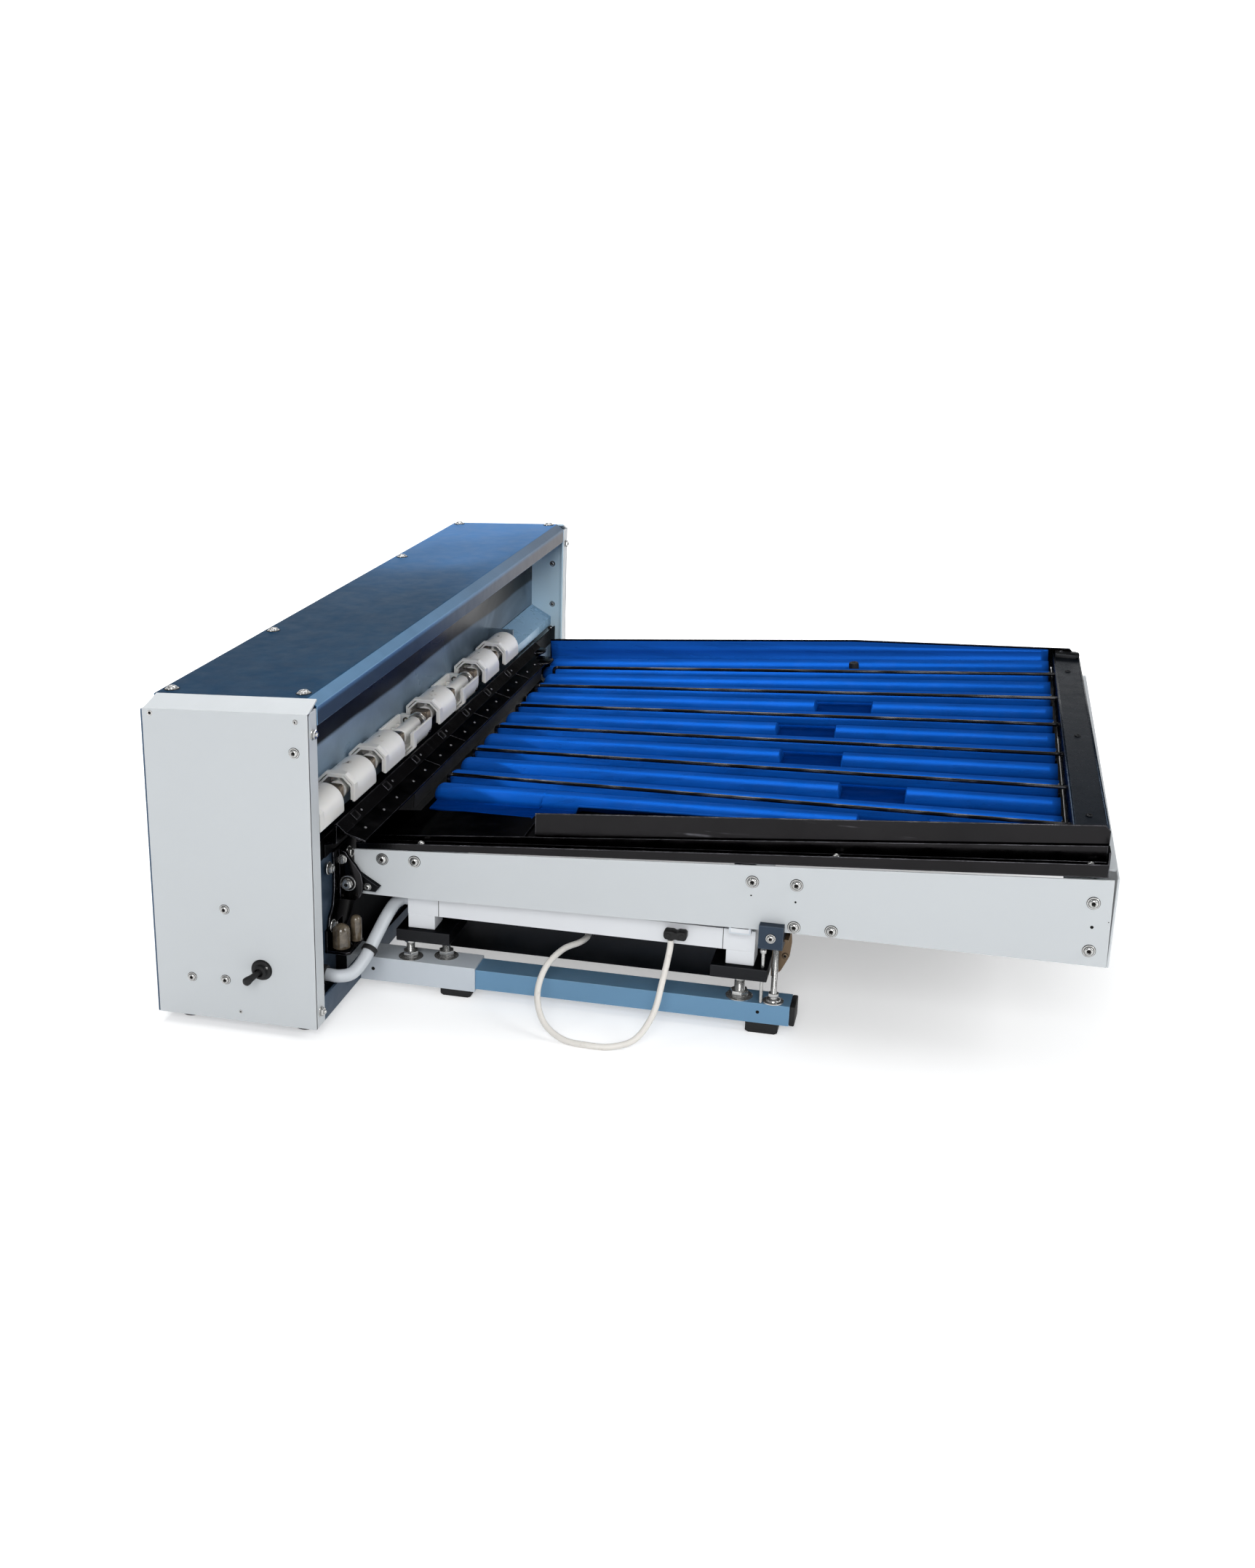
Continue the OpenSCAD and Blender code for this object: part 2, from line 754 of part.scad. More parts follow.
module cross_members() {
    z = rail_z + rail_h + gap;
    d = under_d + 0.05;
    color("lightgray") seat() for (x = [rail_x1 + 4, rail_x2 - 23]) difference() {
        run_y(table_near + plate_t, table_far - plate_t) difference() {
            polygon([[x, z], [x + 20, z], [x + 20, under_z(x + 20, d)], [x, under_z(x, d)]]);
            polygon([[x + 2, z + 2], [x + 18, z + 2], [x + 18, under_z(x + 18, d) - 2],
                [x + 2, under_z(x + 2, d) - 2]]);
        }
        translate([x - 1, table_near, under_z(x, d) - 10])
            cube([22, fence_y + fence_t + gap - table_near, 20]);
    }
}

peg_x = 371;
peg_y = wire_near(0) + 24;
peg_r = 6;
// Middle of each egg pocket, lane by lane from the far side; 0 is a lane without one
pockets = [0, 0, 406, 374, 390, 460, 485];

module ridge(x1, y1, x2, y2) {
    a = atan((y2 - y1) / (x2 - x1));
    translate([x1 - lane_x1, y1, -mat_drop - ridge_r + ridge_h]) rotate([0, 90, a])
        cylinder(r = ridge_r, h = (x2 - x1) / cos(a));
}

// A lane mat between wire i - 1 and wire i, near edge given at both ends
module mat(i) {
    far1 = i == 0 ? table_far - plate_t - 2 : wire_near(i - 1);
    far2 = i == 0 ? table_far - plate_t - 2 : wire_far(i - 1);
    near1 = wire_near(i);
    near2 = i == wires ? fence_y + fence_t + 1 : wire_far(i);
    x1 = lane_x1 + mat_x;
    x2 = lane_x2;
    w1 = far1 - near1;
    w2 = far2 - near2;
    q1 = far1 - w1 / 4;
    q2 = far2 - w2 / 4;
    n1 = near1 + w1 / 4;
    n2 = near2 + w2 / 4;
    px = pockets[i];
    at1 = (px - pocket_l / 2 - x1) / (x2 - x1);
    at2 = (px + pocket_l / 2 - x1) / (x2 - x1);
    intersection() {
        union() {
            if (px > 0) {
                ridge(x1, q1, mid(x1, x2, at1), mid(q1, q2, at1));
                ridge(mid(x1, x2, at2), mid(q1, q2, at2), x2, q2);
            } else ridge(x1, q1, x2, q2);
            if (i < wires) ridge(x1, n1, x2, n2);
            else ridge(150, mid(n1, n2, 0.2), x2, n2);
        }
        translate([mat_x, 0, -mat_drop]) linear_extrude(ridge_h + 1)
            mat_plan(i, far1, far2, near1, near2);
    }
    translate([0, 0, -mat_drop - mat_t]) linear_extrude(mat_t)
        translate([mat_x, 0]) mat_plan(i, far1, far2, near1, near2);
}

module mat_plan(i, far1, far2, near1, near2) {
    l = slope_len - mat_x;
    g = 0.4;
    if (i < wires)
        polygon([[0, near1 + g], [l, near2 + g], [l, far2 - g], [0, far1 - g]]);
    else
        polygon([[0, far1 - 66], [112, far1 - 68], [112, near1 + 12], [l, near2 + g],
            [l, far2 - g], [0, far1 - g]]);
}

module lane_mats() {
    color("royalblue") seat() lane_plane() difference() {
        for (i = [0 : wires]) mat(i);
        translate([peg_x, peg_y, -mat_drop]) cylinder(r = peg_r + gap, h = mat_drop);
    }
}

module wire(i) {
    a = atan((wire_far(i) - wire_near(i)) / lane_run);
    l = (kerb_x - gap - lane_x1) / cos(slope_a);
    translate([0, wire_near(i), 0]) rotate([0, 90, a]) cylinder(r = wire_r, h = l / cos(a));
    translate([wire_r, wire_near(i), -mat_drop - mat_t])
        cylinder(r = wire_r - 0.4, h = mat_drop + mat_t);
}

module wire_dividers() {
    color("dimgray") seat() lane_plane() for (i = [0 : wires - 1]) wire(i);
}

module inner_fence() {
    x2 = table_end - 8;
    color("black") seat() upright(fence_y, fence_t)
        polygon([[fence_x, under_z(fence_x, mat_drop + mat_t)], [kerb_x, kerb_z + gap],
            [x2, kerb_z + gap], [x2, lane_z(x2) + fence_up - 5],
            [x2 - 5, lane_z(x2) + fence_up], [fence_x, lane_z(fence_x) + fence_up]]);
}

module front_tray() {
    tz1 = 147;
    tz2 = 197;
    tx = table_end - 9;
    y1 = table_near + plate_t + 0.2;
    color("black") seat() {
        upright(y1, 1.5)
            polygon([[0, tz1 - 3], [tx, tz2 - 8], [tx, tz2 + 4], [0, tz1 + 3]]);
        upright(y1, tray_w) polygon([[0, tz1 - 1.5], [tx, tz2 - 1.5], [tx, tz2], [0, tz1]]);
        upright(y1 + tray_w - 1.5, 1.5)
            polygon([[0, tz1 - 1.5], [tx, tz2 - 1.5], [tx, tz2 + 15], [0, tz1 + 5]]);
        translate([tx, y1, tz2 - 8]) cube([1.5, tray_w, 23]);
    }
}

module end_kerb() {
    y1 = fence_y + fence_t + gap;
    y2 = table_far - plate_t - 2;
    t = 2;
    color("black") seat() translate([kerb_x, 0, 0]) rotate([90, 0, 90]) difference() {
        linear_extrude(kerb_w)
            polygon([[y1, kerb_z], [y2, kerb_z], [y2, kerb_top2], [y1, kerb_top1]]);
        translate([0, 0, t]) linear_extrude(kerb_w - 2 * t)
            polygon([[y1 + t, kerb_z - 1], [y2 - t, kerb_z - 1], [y2 - t, kerb_top2 - t],
                [y1 + t, kerb_top1 - t]]);
    }
}

module far_fence() {
    d = mat_drop + mat_t;
    x3 = kerb_x + kerb_w - 6;
    color("black") seat() upright(table_far - plate_t - 1.7, 1.5)
        polygon([[12, under_z(12, d)], [kerb_x, under_z(kerb_x, d)], [kerb_x, kerb_z + gap],
            [x3, kerb_z + gap], [x3, kerb_top2 + 2], [x3 - 6, kerb_top2 + 8], [400, 212],
            [12, 182]]);
}

module landing_tray() {
    color("black") seat() lane_plane() {
        translate([-30, fence_y - 1, -mat_drop - mat_t])
            cube([148, 80, mat_t]);
    }
}

module table_screws() {
    color("silver") seat() {
        both_sides() for (p = side_fixings) button_y(p[0], table_near, p[1], 1);
        for (x = [60, 440, table_end - 22])
            translate([x, table_near + 11, 147.3 + x * 50 / (table_end - 9)])
                cylinder(r1 = 3.4, r2 = 2.2, h = 2.4);
    }
}

module pivot_lug() {
    difference() {
        upright(table_near - 6, 6 - gap)
            polygon([[pivot_x - 7, pivot_z - 8], [pivot_x + 24, pivot_z - 9],
                [pivot_x + 28, pivot_z - 4], [pivot_x + 5, pivot_z + 10],
                [pivot_x - 7, pivot_z + 7]]);
        along_y(pivot_x, table_near - 8, pivot_z, pivot_r + run_fit, 10);
    }
}

module pivot_lugs() {
    color("black") seat() both_sides() pivot_lug();
}

module clamp() {
    difference() {
        union() {
            translate([clamp_x, table_near - 9, clamp_z]) cube([clamp_w, 9, 22]);
            translate([clamp_x, table_near - 9, clamp_z]) cube([clamp_w, 36, 7]);
        }
        translate([rod_x, rod_y, clamp_z - 4]) cylinder(r = rod_r + run_fit, h = 14);
    }
}

module clamp_blocks() {
    color("black") seat() both_sides() clamp();
}

module stop_peg() {
    color("black") seat() lane_plane() translate([peg_x, peg_y, -mat_drop])
        cylinder(r = peg_r, h = mat_drop + 2);
}

module levelling_rod() {
    translate([rod_x, rod_y, tube_top + gap]) {
        cylinder(r = 6.5, h = 3);
        cylinder(r = rod_r, h = clamp_z + 14 - tube_top - gap);
        translate([0, 0, clamp_z - tube_top - gap - 7]) cylinder(r = 5.5, h = 5, $fn = 6);
    }
}

module near_levelling_rod() {
    color("silver") seat() levelling_rod();
}

module far_levelling_rod() {
    color("silver") seat() far_side() levelling_rod();
}

near_end_plate();
far_end_plate();
top_cover();
back_panel();
base_pan();
lower_front_panel();
inner_guide_wall();
infeed_chute();
housing_screws();
rubber_feet();
carrier_shaft();
shaft_bulkhead();
actuator_blocks();
cradle(0);  // cradle_1
cradle(1);  // cradle_2
cradle(2);  // cradle_3
cradle(3);  // cradle_4
cradle(4);  // cradle_5
cradle(5);  // cradle_6
cradle(6);  // cradle_7
cradle(7);  // cradle_8
drop_slide();
slide_screws();
hinge_brackets();
pivot_pins();
bumper_pins();
supply_conduit();
conduit_gland();
switch_body();
switch_lever();
power_supply();
control_board();
beam_sleeves();
beam_tubes();
beam_rubbers();
adjuster_bolts();
mount_blocks();
rail_spacers();
sensor_rails();
cross_bars();
cable_glands();
signal_cable();
near_side_plate();
far_side_plate();
end_plate();
table_floor();
cross_members();
lane_mats();
wire_dividers();
inner_fence();
front_tray();
end_kerb();
far_fence();
landing_tray();
table_screws();
pivot_lugs();
clamp_blocks();
stop_peg();
near_levelling_rod();
far_levelling_rod();
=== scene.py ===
import math

import bmesh
import bpy
from bpy.props import FloatProperty, FloatVectorProperty, IntProperty, PointerProperty
from mathutils import Matrix, Vector


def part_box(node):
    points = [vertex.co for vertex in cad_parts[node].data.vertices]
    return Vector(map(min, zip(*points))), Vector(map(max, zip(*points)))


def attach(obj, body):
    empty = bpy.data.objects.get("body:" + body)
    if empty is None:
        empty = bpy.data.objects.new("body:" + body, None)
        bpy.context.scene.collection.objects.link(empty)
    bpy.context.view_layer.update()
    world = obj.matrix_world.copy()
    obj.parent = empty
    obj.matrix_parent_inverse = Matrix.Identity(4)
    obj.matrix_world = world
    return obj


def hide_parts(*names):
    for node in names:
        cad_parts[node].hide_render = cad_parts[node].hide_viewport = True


bl_info = {
    "name": "Egg Grader",
    "version": (1, 0, 0),
    "blender": (4, 5, 0),
    "location": "3D View > Sidebar > Egg Grader",
    "description": "Builds the finished surfaces of a tabletop egg grader on its fixed frame",
    "category": "Object",
}

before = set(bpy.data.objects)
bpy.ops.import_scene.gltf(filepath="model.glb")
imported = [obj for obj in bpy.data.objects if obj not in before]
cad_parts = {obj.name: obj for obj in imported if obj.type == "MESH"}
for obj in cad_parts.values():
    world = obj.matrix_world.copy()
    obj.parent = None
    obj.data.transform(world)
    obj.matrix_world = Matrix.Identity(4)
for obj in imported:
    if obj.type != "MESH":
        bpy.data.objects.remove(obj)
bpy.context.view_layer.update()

# Millimetres are counted from the housing's open, near, lower corner
HOME = Vector((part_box("base_pan")[1].x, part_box("near_end_plate")[0].y, 0.0))
TO_FRAME = Matrix.Translation(HOME) @ Matrix.Scale(0.001, 4)
X_AXIS = Vector((1.0, 0.0, 0.0))
Y_AXIS = Vector((0.0, 1.0, 0.0))
Z_AXIS = Vector((0.0, 0.0, 1.0))


def side_of(node, end, axis):
    """One side of a node's box, in millimetres."""
    return round((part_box(node)[end][axis] - HOME[axis]) * 1000.0, 1)


# The sheet metal and the lanes, as the frame has them
TOP_Z = 311.0
FALL = math.atan2(8.0, 150.0)
HOUSING_Y = side_of("far_end_plate", 1, 1)
TABLE_NEAR = side_of("near_side_plate", 0, 1)
TABLE_FAR = side_of("far_side_plate", 1, 1)
LANE_X = 33.0
LANE_Z = 165.0
LANE_RUN = 599.0
LANE_FAR = side_of("end_kerb", 1, 1)
LANE_SLOPE = math.atan2(48.0, LANE_RUN)
LANE_LENGTH = LANE_RUN / math.cos(LANE_SLOPE)
LANE = Matrix.Translation((LANE_X, 0.0, LANE_Z)) @ Matrix.Rotation(-LANE_SLOPE, 4, "Y")
MAT_TOP = -14.0
WIRES = 6
SHAFT_X = -25.0
SHAFT_Z = 192.0
CRADLES = 8
FIRST_RIM = 37.0
CRADLE_PITCH = 86.0
# Cradles that stand hollow side up, counted from 0
LOADED = (3, 5)


def rim_y(i):
    """Near rim of cradle i."""
    return FIRST_RIM + CRADLE_PITCH * i


def wire_y(i, x):
    """Y of wire i over a place X. The wires spread towards the kerb."""
    t = (x - LANE_X) / LANE_RUN
    at_slide = 714.0 - 87.0 * i
    at_kerb = 691.0 - 105.0 * i
    return at_slide * (1.0 - t) + at_kerb * t


def lane_z(x):
    """Height of the wires over a place X."""
    return LANE_Z + (x - LANE_X) * math.tan(LANE_SLOPE)


def top_at(x):
    """Height of the top cover over a place X."""
    return TOP_Z + x * math.tan(FALL)


def fence_top(x):
    """Height of the far fence over a place X: steep up to its knee, then flatter."""
    knee = 400.0
    if x < knee:
        return 182.0 + (x - 12.0) * 30.0 / 388.0
    return 212.0 + (x - knee) * 10.0 / 256.0


def step(value, low, high):
    """A soft step from 0 to 1."""
    t = min(max((value - low) / (high - low), 0.0), 1.0)
    return t * t * (3.0 - 2.0 * t)


def on_side(flip, x, y, z):
    """A place on the near side, or the same place on the table's far side."""
    return (x, TABLE_NEAR + TABLE_FAR - y, z) if flip else (x, y, z)


def outward(flip):
    """The way out of the near side, or of the far one."""
    return Y_AXIS if flip else -Y_AXIS


# Settings that a user would change

def colour(name, text, default):
    """A colour as the screen shows it."""
    return FloatVectorProperty(name=name, description=text, subtype="COLOR_GAMMA", size=3,
                               min=0.0, max=1.0, default=default)


class GraderSheetSettings(bpy.types.PropertyGroup):
    light: colour("Light coat", "Powder coat of the end plates and the table's sides",
                  (0.80, 0.818, 0.83))
    # The near and far blues are the ends of a painted reflection that brightens the cover towards
    # its far end. The lip's brighter blue is a painted highlight.
    cover_near: colour("Cover, near", "Blue of the top cover at its near end", (0.07, 0.262, 0.385))
    cover_far: colour("Cover, far", "Blue of the top cover at its far end", (0.36, 0.60, 0.86))
    lip: colour("Cover lip", "Brighter folded lip along the cover's front",
                (0.47, 0.62, 0.76))
    slate: colour("Slate", "Coat of the panels inside the housing", (0.26, 0.33, 0.41))
    guide: colour("Guide steel", "Bright wall behind the cradles", (0.535, 0.62, 0.695))
    black: colour("Gloss black", "Coat of the slide, trays, fences and brackets",
                  (0.135, 0.133, 0.137))
    kerb: colour("Kerb", "Charcoal coat of the end kerb", (0.155, 0.185, 0.225))
    beam: colour("Beam blue", "Coat of the inner beam tubes", (0.43, 0.585, 0.71))
    sleeve: colour("Sleeve grey", "Coat of the outer beam sleeves", (0.80, 0.83, 0.86))
    edge: FloatProperty(name="Fold radius", description="Rounding of folded sheet edges",
                        default=0.0011, min=0.0002, max=0.002, subtype="DISTANCE", unit="LENGTH")


class GraderCarrierSettings(bpy.types.PropertyGroup):
    shell: colour("Shell", "Off-white moulding of the cradles", (0.965, 0.96, 0.945))
    stain: colour("Stain", "Brown rub marks on the crowns", (0.55, 0.42, 0.30))
    bronze: colour("Drive", "Plated blocks that turn the cradles", (0.40, 0.36, 0.32))
    wall: FloatProperty(name="Shell wall", description="Thickness of a cradle's shell",
                        default=0.0025, min=0.0015, max=0.003, subtype="DISTANCE",
                        unit="LENGTH")


class GraderLaneSettings(bpy.types.PropertyGroup):
    blue: colour("Mat blue", "Moulded sheet of the lanes", (0.07, 0.30, 0.63))
    # The flank and low blues are painted shade on the ridges' flanks and in the valleys.
    blue_mid: colour("Mat blue, flank", "The same sheet on its ridges' flanks",
                     (0.03, 0.265, 0.58))
    blue_deep: colour("Mat blue, low", "The same sheet in its valleys", (0.0, 0.155, 0.40))
    ridge: FloatProperty(name="Ridge height", description="Height of the mats' ridges",
                         default=0.011, min=0.008, max=0.012, subtype="DISTANCE", unit="LENGTH")
    across: IntProperty(name="Steps across", description="Mesh steps across one mat",
                        default=46, min=20, max=60)
    wire: colour("Wire", "Dark plated wire", (0.10, 0.10, 0.105))


class GraderUndercarriageSettings(bpy.types.PropertyGroup):
    rail: colour("Rail grey", "Pale covers of the rails and their end blocks",
                 (0.90, 0.91, 0.925))
    cable: colour("Cable", "Jacket of the signal cable", (0.91, 0.895, 0.87))
    conduit: colour("Conduit", "Grey supply conduit", (0.78, 0.80, 0.82))
    cable_size: FloatProperty(name="Cable size", description="Diameter of the signal cable",
                              default=0.0058, min=0.004, max=0.006, subtype="DISTANCE",
                              unit="LENGTH")


class GraderStageSettings(bpy.types.PropertyGroup):
    key: FloatProperty(name="Key light", description="Power of the lamp beside the camera",
                       default=122.0, min=0.0, subtype="POWER", unit="POWER")
    fill: FloatProperty(name="Fill light", description="Power of the lamp on the right",
                        default=20.0, min=0.0, subtype="POWER", unit="POWER")
    top: FloatProperty(name="Top light", description="Power of the lamp above",
                       default=22.0, min=0.0, subtype="POWER", unit="POWER")
    strip: FloatProperty(name="Strip light", description="Power of the narrow lamp on the left",
                         default=6.0, min=0.0, subtype="POWER", unit="POWER")
    ambient: FloatProperty(name="Surroundings", description="Brightness of the room around",
                           default=0.30, min=0.0, max=1.0)
    lens: FloatProperty(name="Lens", description="Focal length of the camera, in millimetres",
                        default=39.656, min=20.0, max=120.0)


# Mesh work, all in millimetres

def join(bm, part, place=None):
    """Adds one finished shape to the mesh that collects a piece."""
    if place is not None:
        bmesh.ops.transform(part, matrix=place, verts=part.verts)
    mesh = bpy.data.meshes.new("part")
    part.to_mesh(mesh)
    part.free()
    bm.from_mesh(mesh)
    bpy.data.meshes.remove(mesh)


def paint_faces(part, index):
    """Gives a whole shape one of its piece's finishes."""
    for face in part.faces:
        face.material_index = index


def aim(axis):
    """Turns +Z to look along an axis."""
    return Z_AXIS.rotation_difference(Vector(axis).normalized()).to_matrix().to_4x4()


def round_edges(part, edges, radius, steps=2):
    """Rounds some edges of a shape."""
    bmesh.ops.bevel(part, geom=list(edges), offset=radius, offset_type="OFFSET",
                    segments=steps, profile=0.5, affect="EDGES", material=-1,
                    clamp_overlap=True)


def box(bm, low, high, edge=0.5, steps=2, turn=None, index=0):
    """A block between two corners, with rounded edges, turned about its middle if asked."""
    part = bmesh.new()
    low = Vector(low)
    high = Vector(high)
    size = high - low
    bmesh.ops.create_cube(part, size=1.0, matrix=Matrix.Diagonal((size.x, size.y, size.z, 1.0)))
    if edge > 0.0:
        round_edges(part, part.edges, min(edge, 0.45 * min(size)), steps)
    paint_faces(part, index)
    place = Matrix.Translation((low + high) / 2)
    join(bm, part, place if turn is None else place @ turn)


def turned(bm, profile, place, axis=Z_AXIS, steps=28, closed=False, index=0):
    """A profile of (radius, height) pairs, spun once around an axis."""
    part = bmesh.new()
    verts = [part.verts.new((r, 0.0, z)) for r, z in profile]
    edges = [part.edges.new(pair) for pair in zip(verts, verts[1:])]
    if closed:
        edges.append(part.edges.new((verts[-1], verts[0])))
    bmesh.ops.spin(part, geom=verts + edges, cent=(0.0, 0.0, 0.0), axis=(0.0, 0.0, 1.0),
                   dvec=(0.0, 0.0, 0.0), angle=2.0 * math.pi, steps=steps, use_merge=True,
                   use_duplicate=False)
    bmesh.ops.remove_doubles(part, verts=part.verts, dist=0.0005)
    bmesh.ops.recalc_face_normals(part, faces=part.faces)
    paint_faces(part, index)
    join(bm, part, Matrix.Translation(place) @ aim(axis))


def disc(bm, place, axis, radius, height, steps=14, index=0):
    """A plain round disc or stub that stands on its place."""
    turned(bm, [(0, 0), (radius, 0), (radius, height), (0, height)], place, axis, steps,
           index=index)


def slab(bm, outline, low, high, along="Y", edge=0.0, index=0):
    """A flat outline given thickness along one axis."""
    order = {"X": lambda a, b, c: (c, a, b), "Y": lambda a, b, c: (a, c, b),
             "Z": lambda a, b, c: (a, b, c)}[along]
    part = bmesh.new()
    face = part.faces.new([part.verts.new(order(a, b, low)) for a, b in outline])
    made = bmesh.ops.extrude_face_region(part, geom=[face])
    moved = [v for v in made["geom"] if isinstance(v, bmesh.types.BMVert)]
    bmesh.ops.translate(part, vec=Vector(order(0.0, 0.0, high - low)), verts=moved)
    bmesh.ops.recalc_face_normals(part, faces=part.faces)
    if edge > 0.0:
        round_edges(part, part.edges, edge)
    paint_faces(part, index)
    join(bm, part)


def hexagon(bm, place, axis, radius, height, edge=0.4, turn=0.0, index=0):
    """A six-sided head or nut, standing on its place."""
    part = bmesh.new()
    bmesh.ops.create_cone(part, cap_ends=True, cap_tris=False, segments=6, radius1=radius,
                          radius2=radius, depth=height,
                          matrix=Matrix.Translation((0.0, 0.0, height / 2)))
    round_edges(part, [e for e in part.edges if abs(e.verts[0].co.z - e.verts[1].co.z) < 0.01],
                edge)
    paint_faces(part, index)
    join(bm, part, Matrix.Translation(place) @ aim(axis) @ Matrix.Rotation(turn, 4, "Z"))


def button(bm, place, axis, radius=5.5, height=3.0, washer=True):
    """A domed socket head on a washer. Its gaps and socket take the piece's second finish, a
    painted shadow.
    """
    place = Vector(place)
    out = Vector(axis).normalized()
    turned(bm, [(0.0, 0.0), (radius * 1.07, 0.0), (radius * 1.04, 0.12), (0.0, 0.12)], place,
           axis, 26, index=1)
    base = 0.12
    head = radius
    if washer:
        base = 0.30 * height
        head = radius * 0.76
        turned(bm, [(0.0, 0.1), (radius * 0.97, 0.1), (radius, base * 0.45),
                    (radius, base * 0.7), (radius * 0.95, base), (0.0, base)], place, axis, 26)
        turned(bm, [(0.0, 0.0), (head * 1.09, 0.0), (head * 1.06, 0.08), (0.0, 0.08)],
               place + out * base, axis, 26, index=1)
    rise = height - base
    turned(bm, [(0.0, 0.05), (head, 0.05), (head, rise * 0.22), (head * 0.93, rise * 0.52),
                (head * 0.78, rise * 0.80), (head * 0.60, rise * 0.97), (head * 0.53, rise),
                (head * 0.50, rise * 0.94), (head * 0.48, rise * 0.40), (0.0, rise * 0.40)],
           place + out * base, axis, 26)
    hexagon(bm, place + out * (base + rise * 0.42), axis, head * 0.47, 0.14, 0.03, 0.4, 1)


def thread(radius, low, high, pitch=1.25, depth=0.42):
    """The rings of a screw thread, as a profile from one height to another."""
    points = []
    count = max(1, int((high - low) / pitch))
    rise = (high - low) / count
    for k in range(count):
        points.append((radius - depth, low + k * rise))
        points.append((radius, low + (k + 0.5) * rise))
    points.append((radius - depth, high))
    return points


def to_far_side(part, reach=TABLE_NEAR + TABLE_FAR):
    """Mirrors a shape of the near side to the far one."""
    mirror = Matrix.Translation((0, reach, 0)) @ Matrix.Diagonal((1, -1, 1, 1))
    bmesh.ops.transform(part, matrix=mirror, verts=part.verts)
    bmesh.ops.reverse_faces(part, faces=part.faces)


def sheet_of(columns, rows, spot):
    """A grid that faces up, each of its points put in place by a function."""
    part = bmesh.new()
    bmesh.ops.create_grid(part, x_segments=len(columns) - 1, y_segments=len(rows) - 1, size=0.5)
    for v in part.verts:
        v.co = spot(columns[round((v.co.x + 0.5) * (len(columns) - 1))],
                    rows[round((v.co.y + 0.5) * (len(rows) - 1))])
    bmesh.ops.recalc_face_normals(part, faces=part.faces)
    if sum(f.normal.z for f in part.faces) < 0:
        bmesh.ops.reverse_faces(part, faces=part.faces)
    return part


def hand_over(piece, body, slot, nodes):
    """Links a finished piece, parents it to the empty of its body, and hides the nodes that it
    stands for.
    """
    bpy.context.scene.collection.objects.link(piece)
    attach(piece, body)
    if nodes:
        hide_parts(*nodes)


def keep(bm, name, body, materials, slot, nodes=(), smooth=38.0, bevel=0.0, wall=0.0,
         in_frame=False):
    """Turns a collected mesh into a finished piece that rides a body."""
    if not in_frame:
        bmesh.ops.transform(bm, matrix=TO_FRAME, verts=bm.verts)
    mesh = bpy.data.meshes.new(name)
    bm.to_mesh(mesh)
    bm.free()
    mesh.polygons.foreach_set("use_smooth", [True] * len(mesh.polygons))
    mesh.set_sharp_from_angle(angle=math.radians(smooth))
    for material in materials if isinstance(materials, list) else [materials]:
        mesh.materials.append(material)
    piece = bpy.data.objects.new(name, mesh)
    if wall:
        thick = piece.modifiers.new("Wall", "SOLIDIFY")
        thick.thickness = wall
        thick.offset = -1.0
        thick.use_even_offset = True
    if bevel:
        soften = piece.modifiers.new("Folds", "BEVEL")
        soften.width = bevel
        soften.segments = 2
        soften.limit_method = "ANGLE"
        soften.angle_limit = math.radians(28.0)
        soften.harden_normals = True
        soften.use_clamp_overlap = True
    hand_over(piece, body, slot, nodes)


def merged(node):
    """A copy of a node's solid, with its triangles merged to whole faces."""
    bm = bmesh.new()
    bm.from_mesh(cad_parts[node].data)
    bmesh.ops.remove_doubles(bm, verts=bm.verts, dist=2e-6)
    bmesh.ops.dissolve_limit(bm, angle_limit=math.radians(0.8), verts=bm.verts, edges=bm.edges)
    return bm


def dress(node, body, material, slot, edge, extra=None):
    """Gives a node's own shape rounded folds and a finish. extra adds detail to it."""
    bm = merged(node)
    if extra is not None:
        detail = bmesh.new()
        extra(detail)
        join(bm, detail, TO_FRAME)
    keep(bm, node + "_finished", body, material, slot, [node], 30.0, edge, in_frame=True)


def curve_points(route, steps):
    """A smooth line through the points of a route."""
    points = [Vector(p) for p in route]
    line = []
    last = len(points) - 1
    for i in range(last):
        a = points[max(i - 1, 0)]
        b = points[i]
        c = points[i + 1]
        d = points[min(i + 2, last)]
        for k in range(steps):
            t = k / steps
            line.append(0.5 * (2 * b + (c - a) * t + (2 * a - 5 * b + 4 * c - d) * t * t
                               + (3 * b - a - 3 * c + d) * t ** 3))
    line.append(points[last])
    return line


def line_data(name, line, radius, resolution):
    """A round line through points, as curve data."""
    data = bpy.data.curves.new(name, "CURVE")
    data.dimensions = "3D"
    spline = data.splines.new("POLY")
    spline.points.add(len(line) - 1)
    for point, place in zip(spline.points, line):
        point.co = (place.x, place.y, place.z, 1.0)
    spline.use_smooth = True
    data.bevel_depth = radius
    data.bevel_resolution = resolution
    data.use_fill_caps = True
    return data


def round_line(name, route, radius, steps, resolution, body, material, slot, nodes):
    """A round cord, tube or wire on a curve through a route, in millimetres."""
    line = [TO_FRAME @ p for p in curve_points(route, steps)]
    data = line_data(name, line, radius * 0.001, resolution)
    data.materials.append(material)
    piece = bpy.data.objects.new(name, data)
    hand_over(piece, body, slot, nodes)
    return piece, line


def join_curve(bm, data, place=None):
    """Adds a curve or a text to the mesh that collects a piece."""
    holder = bpy.data.objects.new("part", data)
    mesh = bpy.data.meshes.new_from_object(holder)
    part = bmesh.new()
    part.from_mesh(mesh)
    bmesh.ops.remove_doubles(part, verts=part.verts, dist=0.0005)
    join(bm, part, place)
    bpy.data.objects.remove(holder)
    bpy.data.curves.remove(data)
    bpy.data.meshes.remove(mesh)


def drilled(spots, flips=(False, True)):
    """Small holes, painted as dark discs of shade, at near places, at far ones or at both, as
    detail for a sheet.
    """
    def add(bm):
        for flip in flips:
            for x, y, z, radius in spots:
                disc(bm, on_side(flip, x, y, z), outward(flip), radius, 0.08, 14, 1)
    return add


# Materials

FINISH = "finish_"


